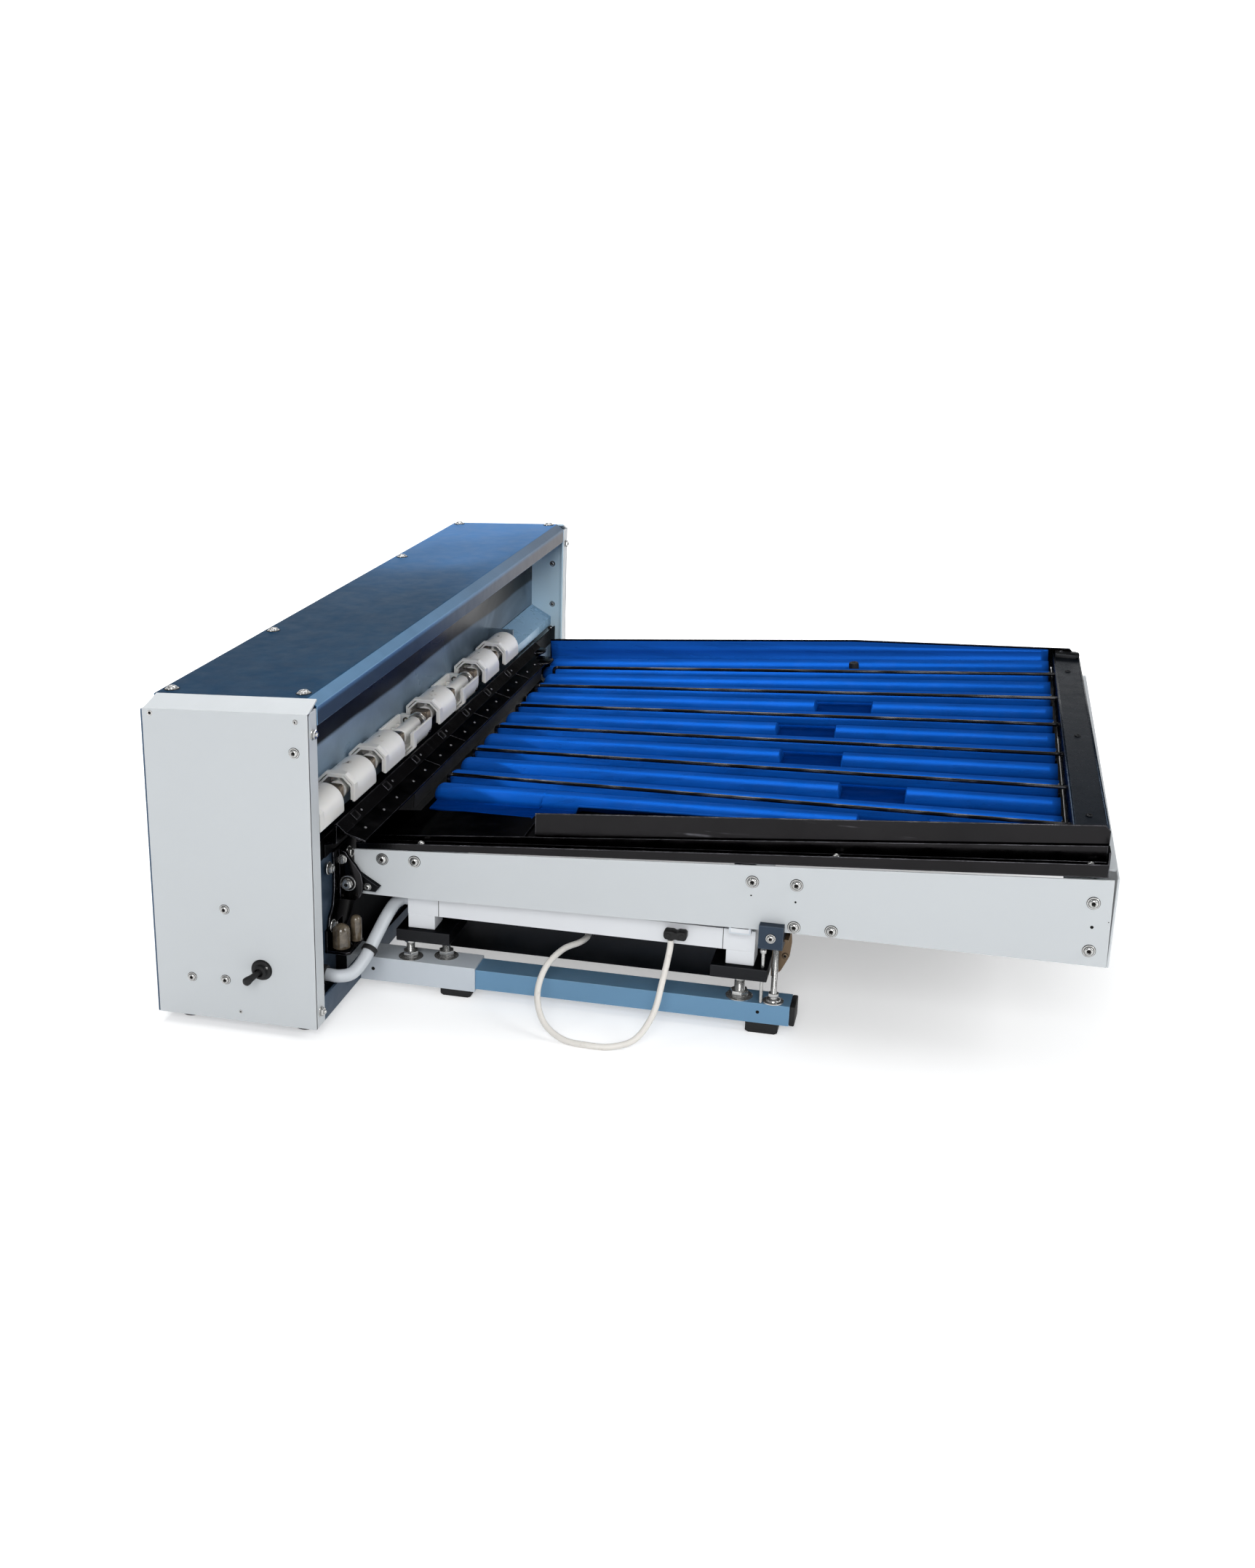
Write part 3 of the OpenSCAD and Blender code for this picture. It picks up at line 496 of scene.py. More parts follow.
def linear(shown):
    """A screen colour as the shader wants it."""
    out = [c / 12.92 if c <= 0.04045 else ((c + 0.055) / 1.055) ** 2.4 for c in shown]
    return (out[0], out[1], out[2], 1.0)


class Wiring:
    """Short names for the nodes of one tree."""

    def __init__(self, tree):
        self.tree = tree

    def node(self, kind, **settings):
        made = self.tree.nodes.new("ShaderNode" + kind)
        for key, value in settings.items():
            setattr(made, key, value)
        return made

    def put(self, socket, value):
        if isinstance(value, bpy.types.NodeSocket):
            self.tree.links.new(value, socket)
        elif value is not None:
            socket.default_value = value

    def math(self, operation, a, b=None, c=None, clamp=False):
        made = self.node("Math", operation=operation, use_clamp=clamp)
        for socket, value in zip(made.inputs, (a, b, c)):
            self.put(socket, value)
        return made.outputs[0]

    def split(self, vector):
        made = self.node("SeparateXYZ")
        self.put(made.inputs[0], vector)
        return made.outputs

    def spot(self):
        """X, Y and Z of the point."""
        return self.split(self.node("TexCoord").outputs["Object"])

    def facing(self):
        """X, Y and Z of the way that the point faces."""
        return self.split(self.node("NewGeometry").outputs["Normal"])

    def place(self, scale=(1.0, 1.0, 1.0)):
        fit = self.node("Mapping")
        self.put(fit.inputs["Vector"], self.node("TexCoord").outputs["Object"])
        self.put(fit.inputs["Scale"], scale)
        return fit.outputs[0]

    def noise(self, where, scale, detail=3.0, rough=0.5, warp=0.0):
        made = self.node("TexNoise")
        self.put(made.inputs["Vector"], where)
        self.put(made.inputs["Scale"], scale)
        self.put(made.inputs["Detail"], detail)
        self.put(made.inputs["Roughness"], rough)
        self.put(made.inputs["Distortion"], warp)
        return made.outputs[0]

    def range(self, value, low, high, to_low=0.0, to_high=1.0, soft=True):
        made = self.node("MapRange", interpolation_type="SMOOTHSTEP" if soft else "LINEAR")
        for key, number in (("Value", value), ("From Min", low), ("From Max", high),
                            ("To Min", to_low), ("To Max", to_high)):
            self.put(made.inputs[key], number)
        return made.outputs[0]

    def mix(self, amount, a, b, blend="MIX"):
        made = self.node("Mix", data_type="RGBA", blend_type=blend)
        self.put(made.inputs[0], amount)
        self.put(made.inputs[6], a)
        self.put(made.inputs[7], b)
        return made.outputs[2]

    def tint(self, shade, tone):
        """A colour made lighter or darker by a number."""
        grey = self.node("CombineColor")
        for socket in grey.inputs:
            self.put(socket, tone)
        return self.mix(1.0, shade, grey.outputs[0], "MULTIPLY")

    def group(self, name, **values):
        made = self.node("Group", node_tree=effect(name))
        for key, value in values.items():
            self.put(made.inputs[key.replace("_", " ")], value)
        return made.outputs

    def bump(self, height, strength, distance):
        made = self.node("Bump")
        self.put(made.inputs["Strength"], strength)
        self.put(made.inputs["Distance"], distance)
        self.put(made.inputs["Height"], height)
        return made.outputs[0]

    def fine_bump(self, size, strength, distance):
        """An even grain, with size grains in a metre."""
        return self.bump(self.noise(self.place(), size, 2.0), strength, distance)


def open_group(name, inputs, outputs):
    """A new shader node group with named number sockets."""
    tree = bpy.data.node_groups.new(name, "ShaderNodeTree")
    for key, value in inputs:
        socket = tree.interface.new_socket(name=key, in_out="INPUT",
                                           socket_type="NodeSocketFloat")
        socket.default_value = value
    for key in outputs:
        tree.interface.new_socket(name=key, in_out="OUTPUT", socket_type="NodeSocketFloat")
    wiring = Wiring(tree)
    return tree, wiring, tree.nodes.new("NodeGroupInput").outputs, \
        tree.nodes.new("NodeGroupOutput").inputs


def tone_drift():
    """Slow changes of tone over a coat. Size is how many clouds fit in a metre."""
    tree, w, given, out = open_group("Tone Drift", [("Size", 8.0), ("Amount", 0.05)], ["Tone"])
    cloud = w.noise(w.place(), given["Size"], 4.0, 0.55, 0.4)
    centred = w.math("SUBTRACT", cloud, 0.5)
    swing = w.math("MULTIPLY", centred, w.math("MULTIPLY", given["Amount"], 3.0))
    w.put(out["Tone"], w.math("ADD", swing, 1.0))
    return tree


def coat_peel():
    """The fine orange peel of a sprayed or powdered coat. Size is grains in a metre."""
    tree, w, given, out = open_group("Coat Peel", [("Size", 900.0)], ["Height"])
    where = w.place()
    fine = w.noise(where, given["Size"], 2.0, 0.5)
    broad = w.noise(where, w.math("MULTIPLY", given["Size"], 0.22), 2.0, 0.5)
    w.put(out["Height"], w.math("ADD", w.math("MULTIPLY", fine, 0.6),
                                w.math("MULTIPLY", broad, 0.4)))
    return tree


def edge_wear():
    """Where a coat is rubbed thin along its folds, and where its folds take a painted glint."""
    tree, w, given, out = open_group("Edge Wear", [("Width", 0.001), ("Amount", 0.5)], ["Mask"])
    soft = w.node("Bevel", samples=4)
    w.put(soft.inputs["Radius"], given["Width"])
    dot = w.node("VectorMath", operation="DOT_PRODUCT")
    w.put(dot.inputs[0], soft.outputs[0])
    w.put(dot.inputs[1], w.node("NewGeometry").outputs["Normal"])
    turn = w.math("SUBTRACT", 1.0, dot.outputs["Value"])
    edge = w.range(turn, 0.02, 0.16)
    patch = w.range(w.noise(w.place(), 70.0, 4.0, 0.6), 0.36, 0.66)
    worn_and_glint = w.math("MULTIPLY", edge, w.math("ADD", w.math("MULTIPLY", patch, 0.75), 0.25))
    w.put(out["Mask"], w.math("MULTIPLY", worn_and_glint, given["Amount"], clamp=True))
    return tree


def settled_dust():
    """A thin veil on what looks up, in uneven drifts."""
    tree, w, given, out = open_group("Settled Dust", [("Amount", 0.1), ("Size", 30.0)],
                                     ["Mask"])
    up = w.range(w.facing()["Z"], 0.35, 0.95)
    drift = w.range(w.noise(w.place(), given["Size"], 5.0, 0.62, 0.6), 0.38, 0.78)
    w.put(out["Mask"], w.math("MULTIPLY", w.math("MULTIPLY", up, drift), given["Amount"],
                              clamp=True))
    return tree


def fine_scratches():
    """Short hairline marks that run mostly along X or along Y."""
    tree, w, given, out = open_group(
        "Fine Scratches", [("Along X", 6.0), ("Along Y", 260.0), ("Share", 0.3)], ["Mask"])
    stretch = w.node("CombineXYZ")
    w.put(stretch.inputs[0], given["Along X"])
    w.put(stretch.inputs[1], given["Along Y"])
    w.put(stretch.inputs[2], 120.0)
    scaled = w.node("VectorMath", operation="MULTIPLY")
    w.put(scaled.inputs[0], w.node("TexCoord").outputs["Object"])
    w.put(scaled.inputs[1], stretch.outputs[0])
    lines = w.noise(scaled.outputs[0], 1.0, 3.0, 0.55, 0.15)
    gate = w.range(w.noise(w.place(), 22.0, 3.0, 0.6), 0.42, 0.62)
    sharp = w.range(lines, w.math("SUBTRACT", 0.70, w.math("MULTIPLY", given["Share"], 0.2)),
                    0.76)
    w.put(out["Mask"], w.math("MULTIPLY", sharp, gate, clamp=True))
    return tree


def drawn_grain():
    """The grain of rolled or brushed metal along Y, with soft cloudy patches, used for a painted
    reflection and for roughness.
    """
    tree, w, given, out = open_group("Drawn Grain", [("Size", 900.0), ("Cloud", 14.0)],
                                     ["Height", "Cloud"])
    grain = w.noise(w.place((1.0, 0.02, 1.0)), given["Size"], 3.0, 0.6)
    cloud = w.noise(w.place((1.0, 0.55, 1.0)), given["Cloud"], 3.0, 0.5, 0.8)
    w.put(out["Height"], grain)
    w.put(out["Cloud"], w.range(cloud, 0.36, 0.70))
    return tree


EFFECTS = {"Tone Drift": tone_drift, "Coat Peel": coat_peel, "Edge Wear": edge_wear,
           "Settled Dust": settled_dust, "Fine Scratches": fine_scratches,
           "Drawn Grain": drawn_grain}


def effect(name):
    """One of the shared node groups, made when it is first wanted."""
    return bpy.data.node_groups.get(name) or EFFECTS[name]()


def start(name):
    """A new material with one Principled shader."""
    material = bpy.data.materials.new(FINISH + name)
    material.use_nodes = True
    wiring = Wiring(material.node_tree)
    return material, wiring, material.node_tree.nodes["Principled BSDF"].inputs


def low_glare(shader, metal, edge=0.45):
    """Keeps a dark coat from turning white where it is seen at a low angle."""
    shader["Metallic"].default_value = metal
    shader["Specular Tint"].default_value = (edge, edge, edge, 1.0)


def coat(name, shade, rough=0.42, metal=0.0, specular=0.35, peel=0.10, grain=850.0, drift=0.05,
         cloud=7.0, wear=0.35, worn_and_glint=(0.9, 0.91, 0.92), dust=0.0, marks=0.0):
    """A painted or powder-coated metal sheet."""
    material, w, shader = start(name)
    tone = w.group("Tone Drift", Size=cloud, Amount=drift)["Tone"]
    base = w.tint(linear(shade), tone)
    if marks:
        lines = w.group("Fine Scratches", Share=marks)["Mask"]
        base = w.mix(w.math("MULTIPLY", lines, 0.35), base, linear(worn_and_glint))
    if dust:
        veil = w.group("Settled Dust", Amount=dust, Size=26.0)["Mask"]
        base = w.mix(veil, base, linear((0.62, 0.62, 0.61)))
    # Rubbed edges in the worn colour: real wear, and on some coats a painted glint along the folds.
    if wear:
        rub = w.group("Edge Wear", Width=0.0012, Amount=wear)["Mask"]
        base = w.mix(rub, base, linear(worn_and_glint))
    w.put(shader["Base Color"], base)
    blur = w.noise(w.place(), 45.0, 4.0, 0.6)
    w.put(shader["Roughness"], w.range(blur, 0.3, 0.7, rough - 0.05, rough + 0.07, False))
    height = w.group("Coat Peel", Size=grain)["Height"]
    w.put(shader["Normal"], w.bump(height, peel, 0.0004))
    if metal:
        low_glare(shader, metal)
    shader["Specular IOR Level"].default_value = specular
    return material


def settings():
    """The scene's settings for this object."""
    return bpy.context.scene


def light_sheet(name):
    return coat(name, settings().grader_sheet.light, 0.40, peel=0.12, drift=0.035, cloud=3.0,
                wear=0.45, worn_and_glint=(0.95, 0.955, 0.96), dust=0.06)


def light_coat():
    return light_sheet("light_coat")


def far_plate_coat():
    """The light coat, with a pale blue inner face between the blue sheets: a painted reflection of
    those sheets and painted light where the cover shades it.
    """
    material = light_sheet("far_plate_coat")
    w = Wiring(material.node_tree)
    shader = material.node_tree.nodes["Principled BSDF"].inputs
    # The pale blue of the inner face is painted reflection and painted light.
    inner = w.range(w.facing()["Y"], -0.6, -0.9)
    base = shader["Base Color"].links[0].from_socket
    w.put(shader["Base Color"], w.mix(inner, base, linear((0.85, 0.95, 1.0))))
    return material


def cover_blue():
    """Satin blue cover, a little brighter towards its far end by a painted reflection, with a
    painted highlight and painted reflections on its lip.
    """
    material, w, shader = start("cover_blue")
    given = settings().grader_sheet
    # The blue brightens towards the far end: a painted reflection of the room at a low angle.
    spot = w.spot()
    drift = w.noise(w.place((1.0, 0.6, 1.0)), 6.0, 3.0, 0.5, 0.5)
    along = w.math("ADD", spot["Y"], w.math("MULTIPLY", drift, 0.30))
    amount = w.range(along, 0.06, 0.66)
    base = w.mix(amount, linear(given.cover_near), linear(given.cover_far))
    # Faces turned to the front take the lighter lip blue, a painted highlight, which turns to a
    # painted brown reflection towards the far end.
    front = w.facing()["X"]
    lip = w.range(front, 0.30, 0.60)
    painted_warm_reflection = w.range(spot["Y"], -0.25, 0.45)
    lip_painted_sheen = w.mix(w.math("MULTIPLY", painted_warm_reflection, 0.62), linear(given.lip),
                        linear((0.50, 0.49, 0.50)))
    base = w.mix(lip, base, lip_painted_sheen)
    # A dark band low on the lip's front face is a painted reflection, brown towards the far end.
    painted_sill_band = w.math("MULTIPLY", w.range(front, 0.86, 0.94), w.range(spot["Z"], 0.3035, 0.2985))
    painted_sill_shade = w.mix(painted_warm_reflection, linear((0.27, 0.29, 0.32)), linear((0.52, 0.50, 0.49)))
    base = w.mix(w.math("MULTIPLY", painted_sill_band, 0.8), base, painted_sill_shade)
    tone = w.group("Tone Drift", Size=9.0, Amount=0.09)["Tone"]
    base = w.tint(base, tone)
    veil = w.group("Settled Dust", Amount=0.07, Size=40.0)["Mask"]
    base = w.mix(veil, base, linear((0.55, 0.62, 0.70)))
    # The pale rubbed fold is mostly a painted highlight along the cover's edges.
    rub = w.group("Edge Wear", Width=0.0016, Amount=0.95)["Mask"]
    base = w.mix(rub, base, linear((0.80, 0.89, 0.96)))
    w.put(shader["Base Color"], base)
    blur = w.noise(w.place(), 60.0, 4.0, 0.6)
    w.put(shader["Roughness"], w.range(blur, 0.3, 0.7, 0.30, 0.40, False))
    grain = w.group("Coat Peel", Size=1100.0)["Height"]
    w.put(shader["Normal"], w.bump(grain, 0.08, 0.0004))
    low_glare(shader, 0.6, 0.3)
    shader["Specular IOR Level"].default_value = 0.05
    return material


def slate_coat():
    return coat("slate_coat", settings().grader_sheet.slate, 0.34, 0.6, 0.25, 0.08, drift=0.14,
                cloud=12.0, wear=0.3, worn_and_glint=(0.6, 0.66, 0.72), dust=0.08)


def guide_steel():
    """Bright rolled wall with soft cloudy reflections painted into its colour, a painted shadow
    under the cover's lip and painted light at its near end.
    """
    material, w, shader = start("guide_steel")
    shade = settings().grader_sheet.guide
    grain = w.group("Drawn Grain", Size=700.0, Cloud=13.0)
    # The cloudy dark and light tones are a painted reflection.
    base = w.mix(grain["Cloud"], linear([c * 0.66 for c in shade]), linear(shade))
    spot = w.spot()
    # Along the top runs a painted shadow of the cover's lip, with a wavy lower edge.
    lip_shadow_wobble = w.noise(w.place((1.0, 0.5, 1.0)), 9.0, 2.0, 0.5)
    lip_shadow_line = w.math("ADD", spot["Z"], w.math("MULTIPLY", lip_shadow_wobble, 0.010))
    # Towards the near end the colour lifts to a pale blue: painted light where the lip shades the
    # wall.
    near = w.range(spot["Y"], 0.25, -0.40)
    base = w.mix(w.math("MULTIPLY", near, 0.8), base, linear((0.72, 0.81, 0.89)))
    band = w.range(lip_shadow_line, 0.2320, 0.2370)
    base = w.mix(band, base, linear((0.03, 0.032, 0.038)))
    base = w.tint(base, w.group("Tone Drift", Size=30.0, Amount=0.08)["Tone"])
    rub = w.group("Edge Wear", Width=0.001, Amount=0.6)["Mask"]
    base = w.mix(rub, base, linear((0.80, 0.86, 0.92)))
    w.put(shader["Base Color"], base)
    w.put(shader["Roughness"], w.range(grain["Cloud"], 0.0, 1.0, 0.40, 0.27, False))
    w.put(shader["Normal"], w.bump(grain["Height"], 0.05, 0.0003))
    low_glare(shader, 0.38, 0.28)
    # Inside the painted shadow the wall loses its metal reflection.
    w.put(shader["Metallic"], w.range(band, 0.0, 1.0, 0.38, 0.0, False))
    shader["Specular IOR Level"].default_value = 0.1
    return material


def chute_coat():
    # Its pale rubbed edges are a painted highlight along the chute's top fold.
    return coat("chute_coat", (0.585, 0.73, 0.84), 0.28, 0.2, 0.3, 0.06, drift=0.06, cloud=14.0,
                wear=0.55, worn_and_glint=(0.86, 0.93, 0.99))


def black_gloss():
    # Its pale rubbed edges are mostly a painted glint along the black folds.
    return coat("black_gloss", settings().grader_sheet.black, 0.18, 1.0, 0.30, 0.10, 420.0,
                0.18, 10.0, wear=0.9, worn_and_glint=(0.60, 0.60, 0.63), marks=0.2)


def black_satin():
    return coat("black_satin", (0.15, 0.152, 0.16), 0.36, 1.0, 0.25, 0.14, 700.0, 0.15, 12.0,
                wear=0.6, worn_and_glint=(0.42, 0.43, 0.45))


def kerb_coat():
    return coat("kerb_coat", settings().grader_sheet.kerb, 0.26, 1.0, 0.25, 0.05, 500.0, 0.22,
                10.0, wear=0.5, worn_and_glint=(0.42, 0.46, 0.52), marks=0.25)


def beam_coat():
    return coat("beam_coat", settings().grader_sheet.beam, 0.36, 0.3, 0.25, 0.10, drift=0.06,
                wear=0.45, worn_and_glint=(0.66, 0.76, 0.84), dust=0.10)


def sleeve_coat():
    return coat("sleeve_coat", settings().grader_sheet.sleeve, 0.40, 0.0, 0.35, 0.12,
                drift=0.05, wear=0.5, worn_and_glint=(0.92, 0.94, 0.95), dust=0.10)


def rail_cover():
    return coat("rail_cover", settings().grader_undercarriage.rail, 0.36, 0.0, 0.45, 0.06,
                1200.0, 0.03, 5.0, wear=0.3, worn_and_glint=(0.93, 0.94, 0.95), dust=0.05)


def clamp_coat():
    return coat("clamp_coat", (0.20, 0.24, 0.29), 0.36, 0.7, 0.3, 0.16, 600.0, 0.10, 30.0,
                wear=0.5, worn_and_glint=(0.50, 0.55, 0.60), dust=0.08)


def bright_steel():
    """Zinc-plated steel of screws, nuts and studs."""
    material, w, shader = start("bright_steel")
    tone = w.group("Tone Drift", Size=220.0, Amount=0.16)["Tone"]
    base = w.tint(linear((0.72, 0.72, 0.715)), tone)
    grime = w.range(w.noise(w.place(), 520.0, 4.0, 0.65), 0.52, 0.74)
    base = w.mix(w.math("MULTIPLY", grime, 0.45), base, linear((0.30, 0.27, 0.23)))
    w.put(shader["Base Color"], base)
    w.put(shader["Roughness"], w.range(grime, 0.0, 1.0, 0.18, 0.42, False))
    w.put(shader["Normal"], w.fine_bump(1500.0, 0.05, 0.0003))
    shader["Metallic"].default_value = 0.82
    return material


def dark_steel():
    """Blackened steel of small screws, rubbed on their rims."""
    material, w, shader = start("dark_steel")
    tone = w.group("Tone Drift", Size=260.0, Amount=0.2)["Tone"]
    base = w.tint(linear((0.46, 0.46, 0.47)), tone)
    rub = w.group("Edge Wear", Width=0.0004, Amount=0.7)["Mask"]
    w.put(shader["Base Color"], w.mix(rub, base, linear((0.66, 0.66, 0.66))))
    w.put(shader["Normal"], w.fine_bump(1500.0, 0.05, 0.0003))
    shader["Metallic"].default_value = 0.9
    shader["Roughness"].default_value = 0.28
    return material


def socket_shadow():
    """Painted shade at the bottom of a socket or a drilled hole, and in the gaps around a screw."""
    material, w, shader = start("socket_shadow")
    tone = w.group("Tone Drift", Size=300.0, Amount=0.3)["Tone"]
    w.put(shader["Base Color"], w.tint(linear((0.075, 0.07, 0.068)), tone))
    w.put(shader["Normal"], w.fine_bump(1800.0, 0.1, 0.0002))
    shader["Roughness"].default_value = 0.6
    shader["Specular IOR Level"].default_value = 0.1
    return material


def shaft_steel():
    """Ground steel with rings of wear around Y."""
    material, w, shader = start("shaft_steel")
    rings = w.noise(w.place((0.02, 1.0, 0.02)), 700.0, 3.0, 0.6)
    tone = w.range(rings, 0.3, 0.7, 0.86, 1.08, False)
    w.put(shader["Base Color"], w.tint(linear((0.78, 0.77, 0.75)), tone))
    w.put(shader["Roughness"], w.range(rings, 0.3, 0.7, 0.16, 0.30, False))
    w.put(shader["Normal"], w.bump(rings, 0.05, 0.0002))
    shader["Metallic"].default_value = 1.0
    return material


def drive_bronze():
    """Dark plated drive blocks with a fine vertical grain."""
    material, w, shader = start("drive_bronze")
    lines = w.noise(w.place((1.0, 1.0, 0.03)), 900.0, 3.0, 0.6)
    tone = w.range(lines, 0.3, 0.7, 0.75, 1.2, False)
    base = w.tint(linear(settings().grader_carrier.bronze), tone)
    rub = w.group("Edge Wear", Width=0.0008, Amount=0.8)["Mask"]
    w.put(shader["Base Color"], w.mix(rub, base, linear((0.78, 0.74, 0.68))))
    w.put(shader["Roughness"], w.range(lines, 0.3, 0.7, 0.24, 0.42, False))
    w.put(shader["Normal"], w.bump(lines, 0.08, 0.0003))
    shader["Metallic"].default_value = 0.9
    return material


def shell_white():
    """Off-white moulding with brown rub marks on the crown and grey scuffs."""
    material, w, shader = start("shell_white")
    given = settings().grader_carrier
    base = w.tint(linear(given.shell), w.group("Tone Drift", Size=24.0, Amount=0.05)["Tone"])
    crown = w.range(w.spot()["Z"], (SHAFT_Z + 13.5) * 0.001, (SHAFT_Z + 18.2) * 0.001)
    blot = w.range(w.noise(w.place((1.0, 0.5, 1.0)), 105.0, 4.0, 0.62, 0.4), 0.58, 0.76)
    stain = w.math("MULTIPLY", w.math("MULTIPLY", crown, blot), 0.6)
    base = w.mix(stain, base, linear(given.stain))
    scuff = w.range(w.noise(w.place((1.0, 0.4, 1.4)), 190.0, 5.0, 0.68, 0.5), 0.66, 0.78)
    base = w.mix(w.math("MULTIPLY", scuff, 0.2), base, linear((0.50, 0.50, 0.50)))
    rub = w.group("Edge Wear", Width=0.0009, Amount=0.5)["Mask"]
    base = w.mix(rub, base, linear((0.96, 0.955, 0.94)))
    w.put(shader["Base Color"], base)
    w.put(shader["Roughness"], w.range(scuff, 0.0, 1.0, 0.34, 0.6, False))
    grain = w.group("Coat Peel", Size=520.0)["Height"]
    w.put(shader["Normal"], w.bump(grain, 0.07, 0.0005))
    shader["Specular IOR Level"].default_value = 0.5
    shader["Subsurface Weight"].default_value = 0.06
    shader["Subsurface Radius"].default_value = (0.002, 0.0015, 0.001)
    return material


def mat_blue():
    """Moulded blue sheet with painted shade on its ridges' flanks and in its valleys, painted light
    towards the slide, and soft flow marks along the lanes.
    """
    material, w, shader = start("mat_blue")
    given = settings().grader_lanes
    spot = w.spot()
    plane = w.math("MULTIPLY", w.math("SUBTRACT", spot["X"], HOME.x + LANE_X * 0.001),
                   math.tan(LANE_SLOPE))
    rise = w.math("SUBTRACT", spot["Z"], w.math("ADD", plane, (LANE_Z + MAT_TOP) * 0.001))
    # Lower on the ridges the blue darkens: painted shade on their flanks and in the valleys.
    base = w.mix(w.range(rise, 0.0005, 0.0045), linear(given.blue_deep), linear(given.blue_mid))
    base = w.mix(w.range(rise, 0.0035, 0.0105), base, linear(given.blue))
    flow = w.noise(w.place((0.08, 1.0, 1.0)), 95.0, 4.0, 0.6, 0.35)
    base = w.tint(base, w.range(flow, 0.3, 0.7, 0.88, 1.14, False))
    # Brighter towards the slide and darker towards the kerb: painted light.
    base = w.tint(base, w.range(spot["X"], -0.20, 0.38, 1.14, 0.88, False))
    base = w.tint(base, w.group("Tone Drift", Size=7.0, Amount=0.10)["Tone"])
    veil = w.group("Settled Dust", Amount=0.02, Size=60.0)["Mask"]
    base = w.mix(veil, base, linear((0.45, 0.55, 0.78)))
    w.put(shader["Base Color"], base)
    w.put(shader["Roughness"], w.range(flow, 0.3, 0.7, 0.22, 0.36, False))
    ripple = w.noise(w.place((0.12, 1.0, 1.0)), 160.0, 3.0, 0.5)
    grain = w.group("Coat Peel", Size=650.0)["Height"]
    height = w.math("ADD", w.math("MULTIPLY", ripple, 0.7), w.math("MULTIPLY", grain, 0.3))
    w.put(shader["Normal"], w.bump(height, 0.16, 0.0009))
    low_glare(shader, 0.28, 0.3)
    shader["Specular IOR Level"].default_value = 0.0
    return material


def wire_plate():
    """Dark bright-drawn wire, rubbed along its top."""
    material, w, shader = start("wire_plate")
    given = settings().grader_lanes
    smear = w.noise(w.place((0.05, 1.0, 1.0)), 140.0, 3.0, 0.6)
    base = w.mix(w.range(smear, 0.45, 0.68), linear(given.wire), linear((0.34, 0.34, 0.35)))
    w.put(shader["Base Color"], base)
    w.put(shader["Roughness"], w.range(smear, 0.3, 0.7, 0.18, 0.30, False))
    w.put(shader["Normal"], w.fine_bump(1300.0, 0.04, 0.0002))
    shader["Metallic"].default_value = 0.85
    return material


def cable_jacket():
    """White rubbery jacket with a little grime."""
    material, w, shader = start("cable_jacket")
    shade = settings().grader_undercarriage.cable
    base = w.tint(linear(shade), w.group("Tone Drift", Size=40.0, Amount=0.06)["Tone"])
    grime = w.range(w.noise(w.place(), 120.0, 5.0, 0.65), 0.56, 0.76)
    base = w.mix(w.math("MULTIPLY", grime, 0.3), base, linear((0.55, 0.51, 0.46)))
    w.put(shader["Base Color"], base)
    w.put(shader["Roughness"], w.range(grime, 0.0, 1.0, 0.38, 0.55, False))
    w.put(shader["Normal"], w.fine_bump(1100.0, 0.06, 0.0003))
    return material


def conduit_skin():
    """Pale grey plastic tube with fine drawn lines."""
    material, w, shader = start("conduit_skin")
    shade = settings().grader_undercarriage.conduit
    base = w.tint(linear(shade), w.group("Tone Drift", Size=30.0, Amount=0.07)["Tone"])
    veil = w.group("Settled Dust", Amount=0.12, Size=60.0)["Mask"]
    base = w.mix(veil, base, linear((0.55, 0.54, 0.52)))
    w.put(shader["Base Color"], base)
    lines = w.noise(w.place(), 480.0, 3.0, 0.55)
    w.put(shader["Roughness"], w.range(lines, 0.3, 0.7, 0.30, 0.42, False))
    w.put(shader["Normal"], w.bump(lines, 0.05, 0.0004))
    return material


def bumper_rubber():
    """Cloudy grey-brown rubber with a glossy skin."""
    material, w, shader = start("bumper_rubber")
    cloud = w.noise(w.place(), 130.0, 4.0, 0.55)
    base = w.mix(w.range(cloud, 0.35, 0.65), linear((0.27, 0.235, 0.19)),
                 linear((0.40, 0.36, 0.30)))
    w.put(shader["Base Color"], base)
    w.put(shader["Roughness"], w.range(cloud, 0.3, 0.7, 0.10, 0.20, False))
    w.put(shader["Normal"], w.bump(cloud, 0.06, 0.0005))
    shader["Coat Weight"].default_value = 0.5
    shader["Coat Roughness"].default_value = 0.05
    return material


def black_rubber():
    """Matte black rubber with a fine grain."""
    material, w, shader = start("black_rubber")
    tone = w.group("Tone Drift", Size=40.0, Amount=0.2)["Tone"]
    base = w.tint(linear((0.085, 0.087, 0.092)), tone)
    veil = w.group("Settled Dust", Amount=0.10, Size=70.0)["Mask"]
    w.put(shader["Base Color"], w.mix(veil, base, linear((0.40, 0.39, 0.37))))
    grain = w.group("Coat Peel", Size=1300.0)["Height"]
    w.put(shader["Roughness"], w.range(grain, 0.3, 0.7, 0.52, 0.70, False))
    w.put(shader["Normal"], w.bump(grain, 0.25, 0.0004))
    shader["Specular IOR Level"].default_value = 0.3
    return material


def warm_reflection_brown():
    # The brown stands for a painted warm reflection on dark metal plates in shade.
    return coat("warm_reflection_brown", (0.40, 0.335, 0.265), 0.44, 0.6, 0.5, 0.10, 700.0, 0.16, 40.0,
                wear=0.6, worn_and_glint=(0.66, 0.62, 0.56), dust=0.10)


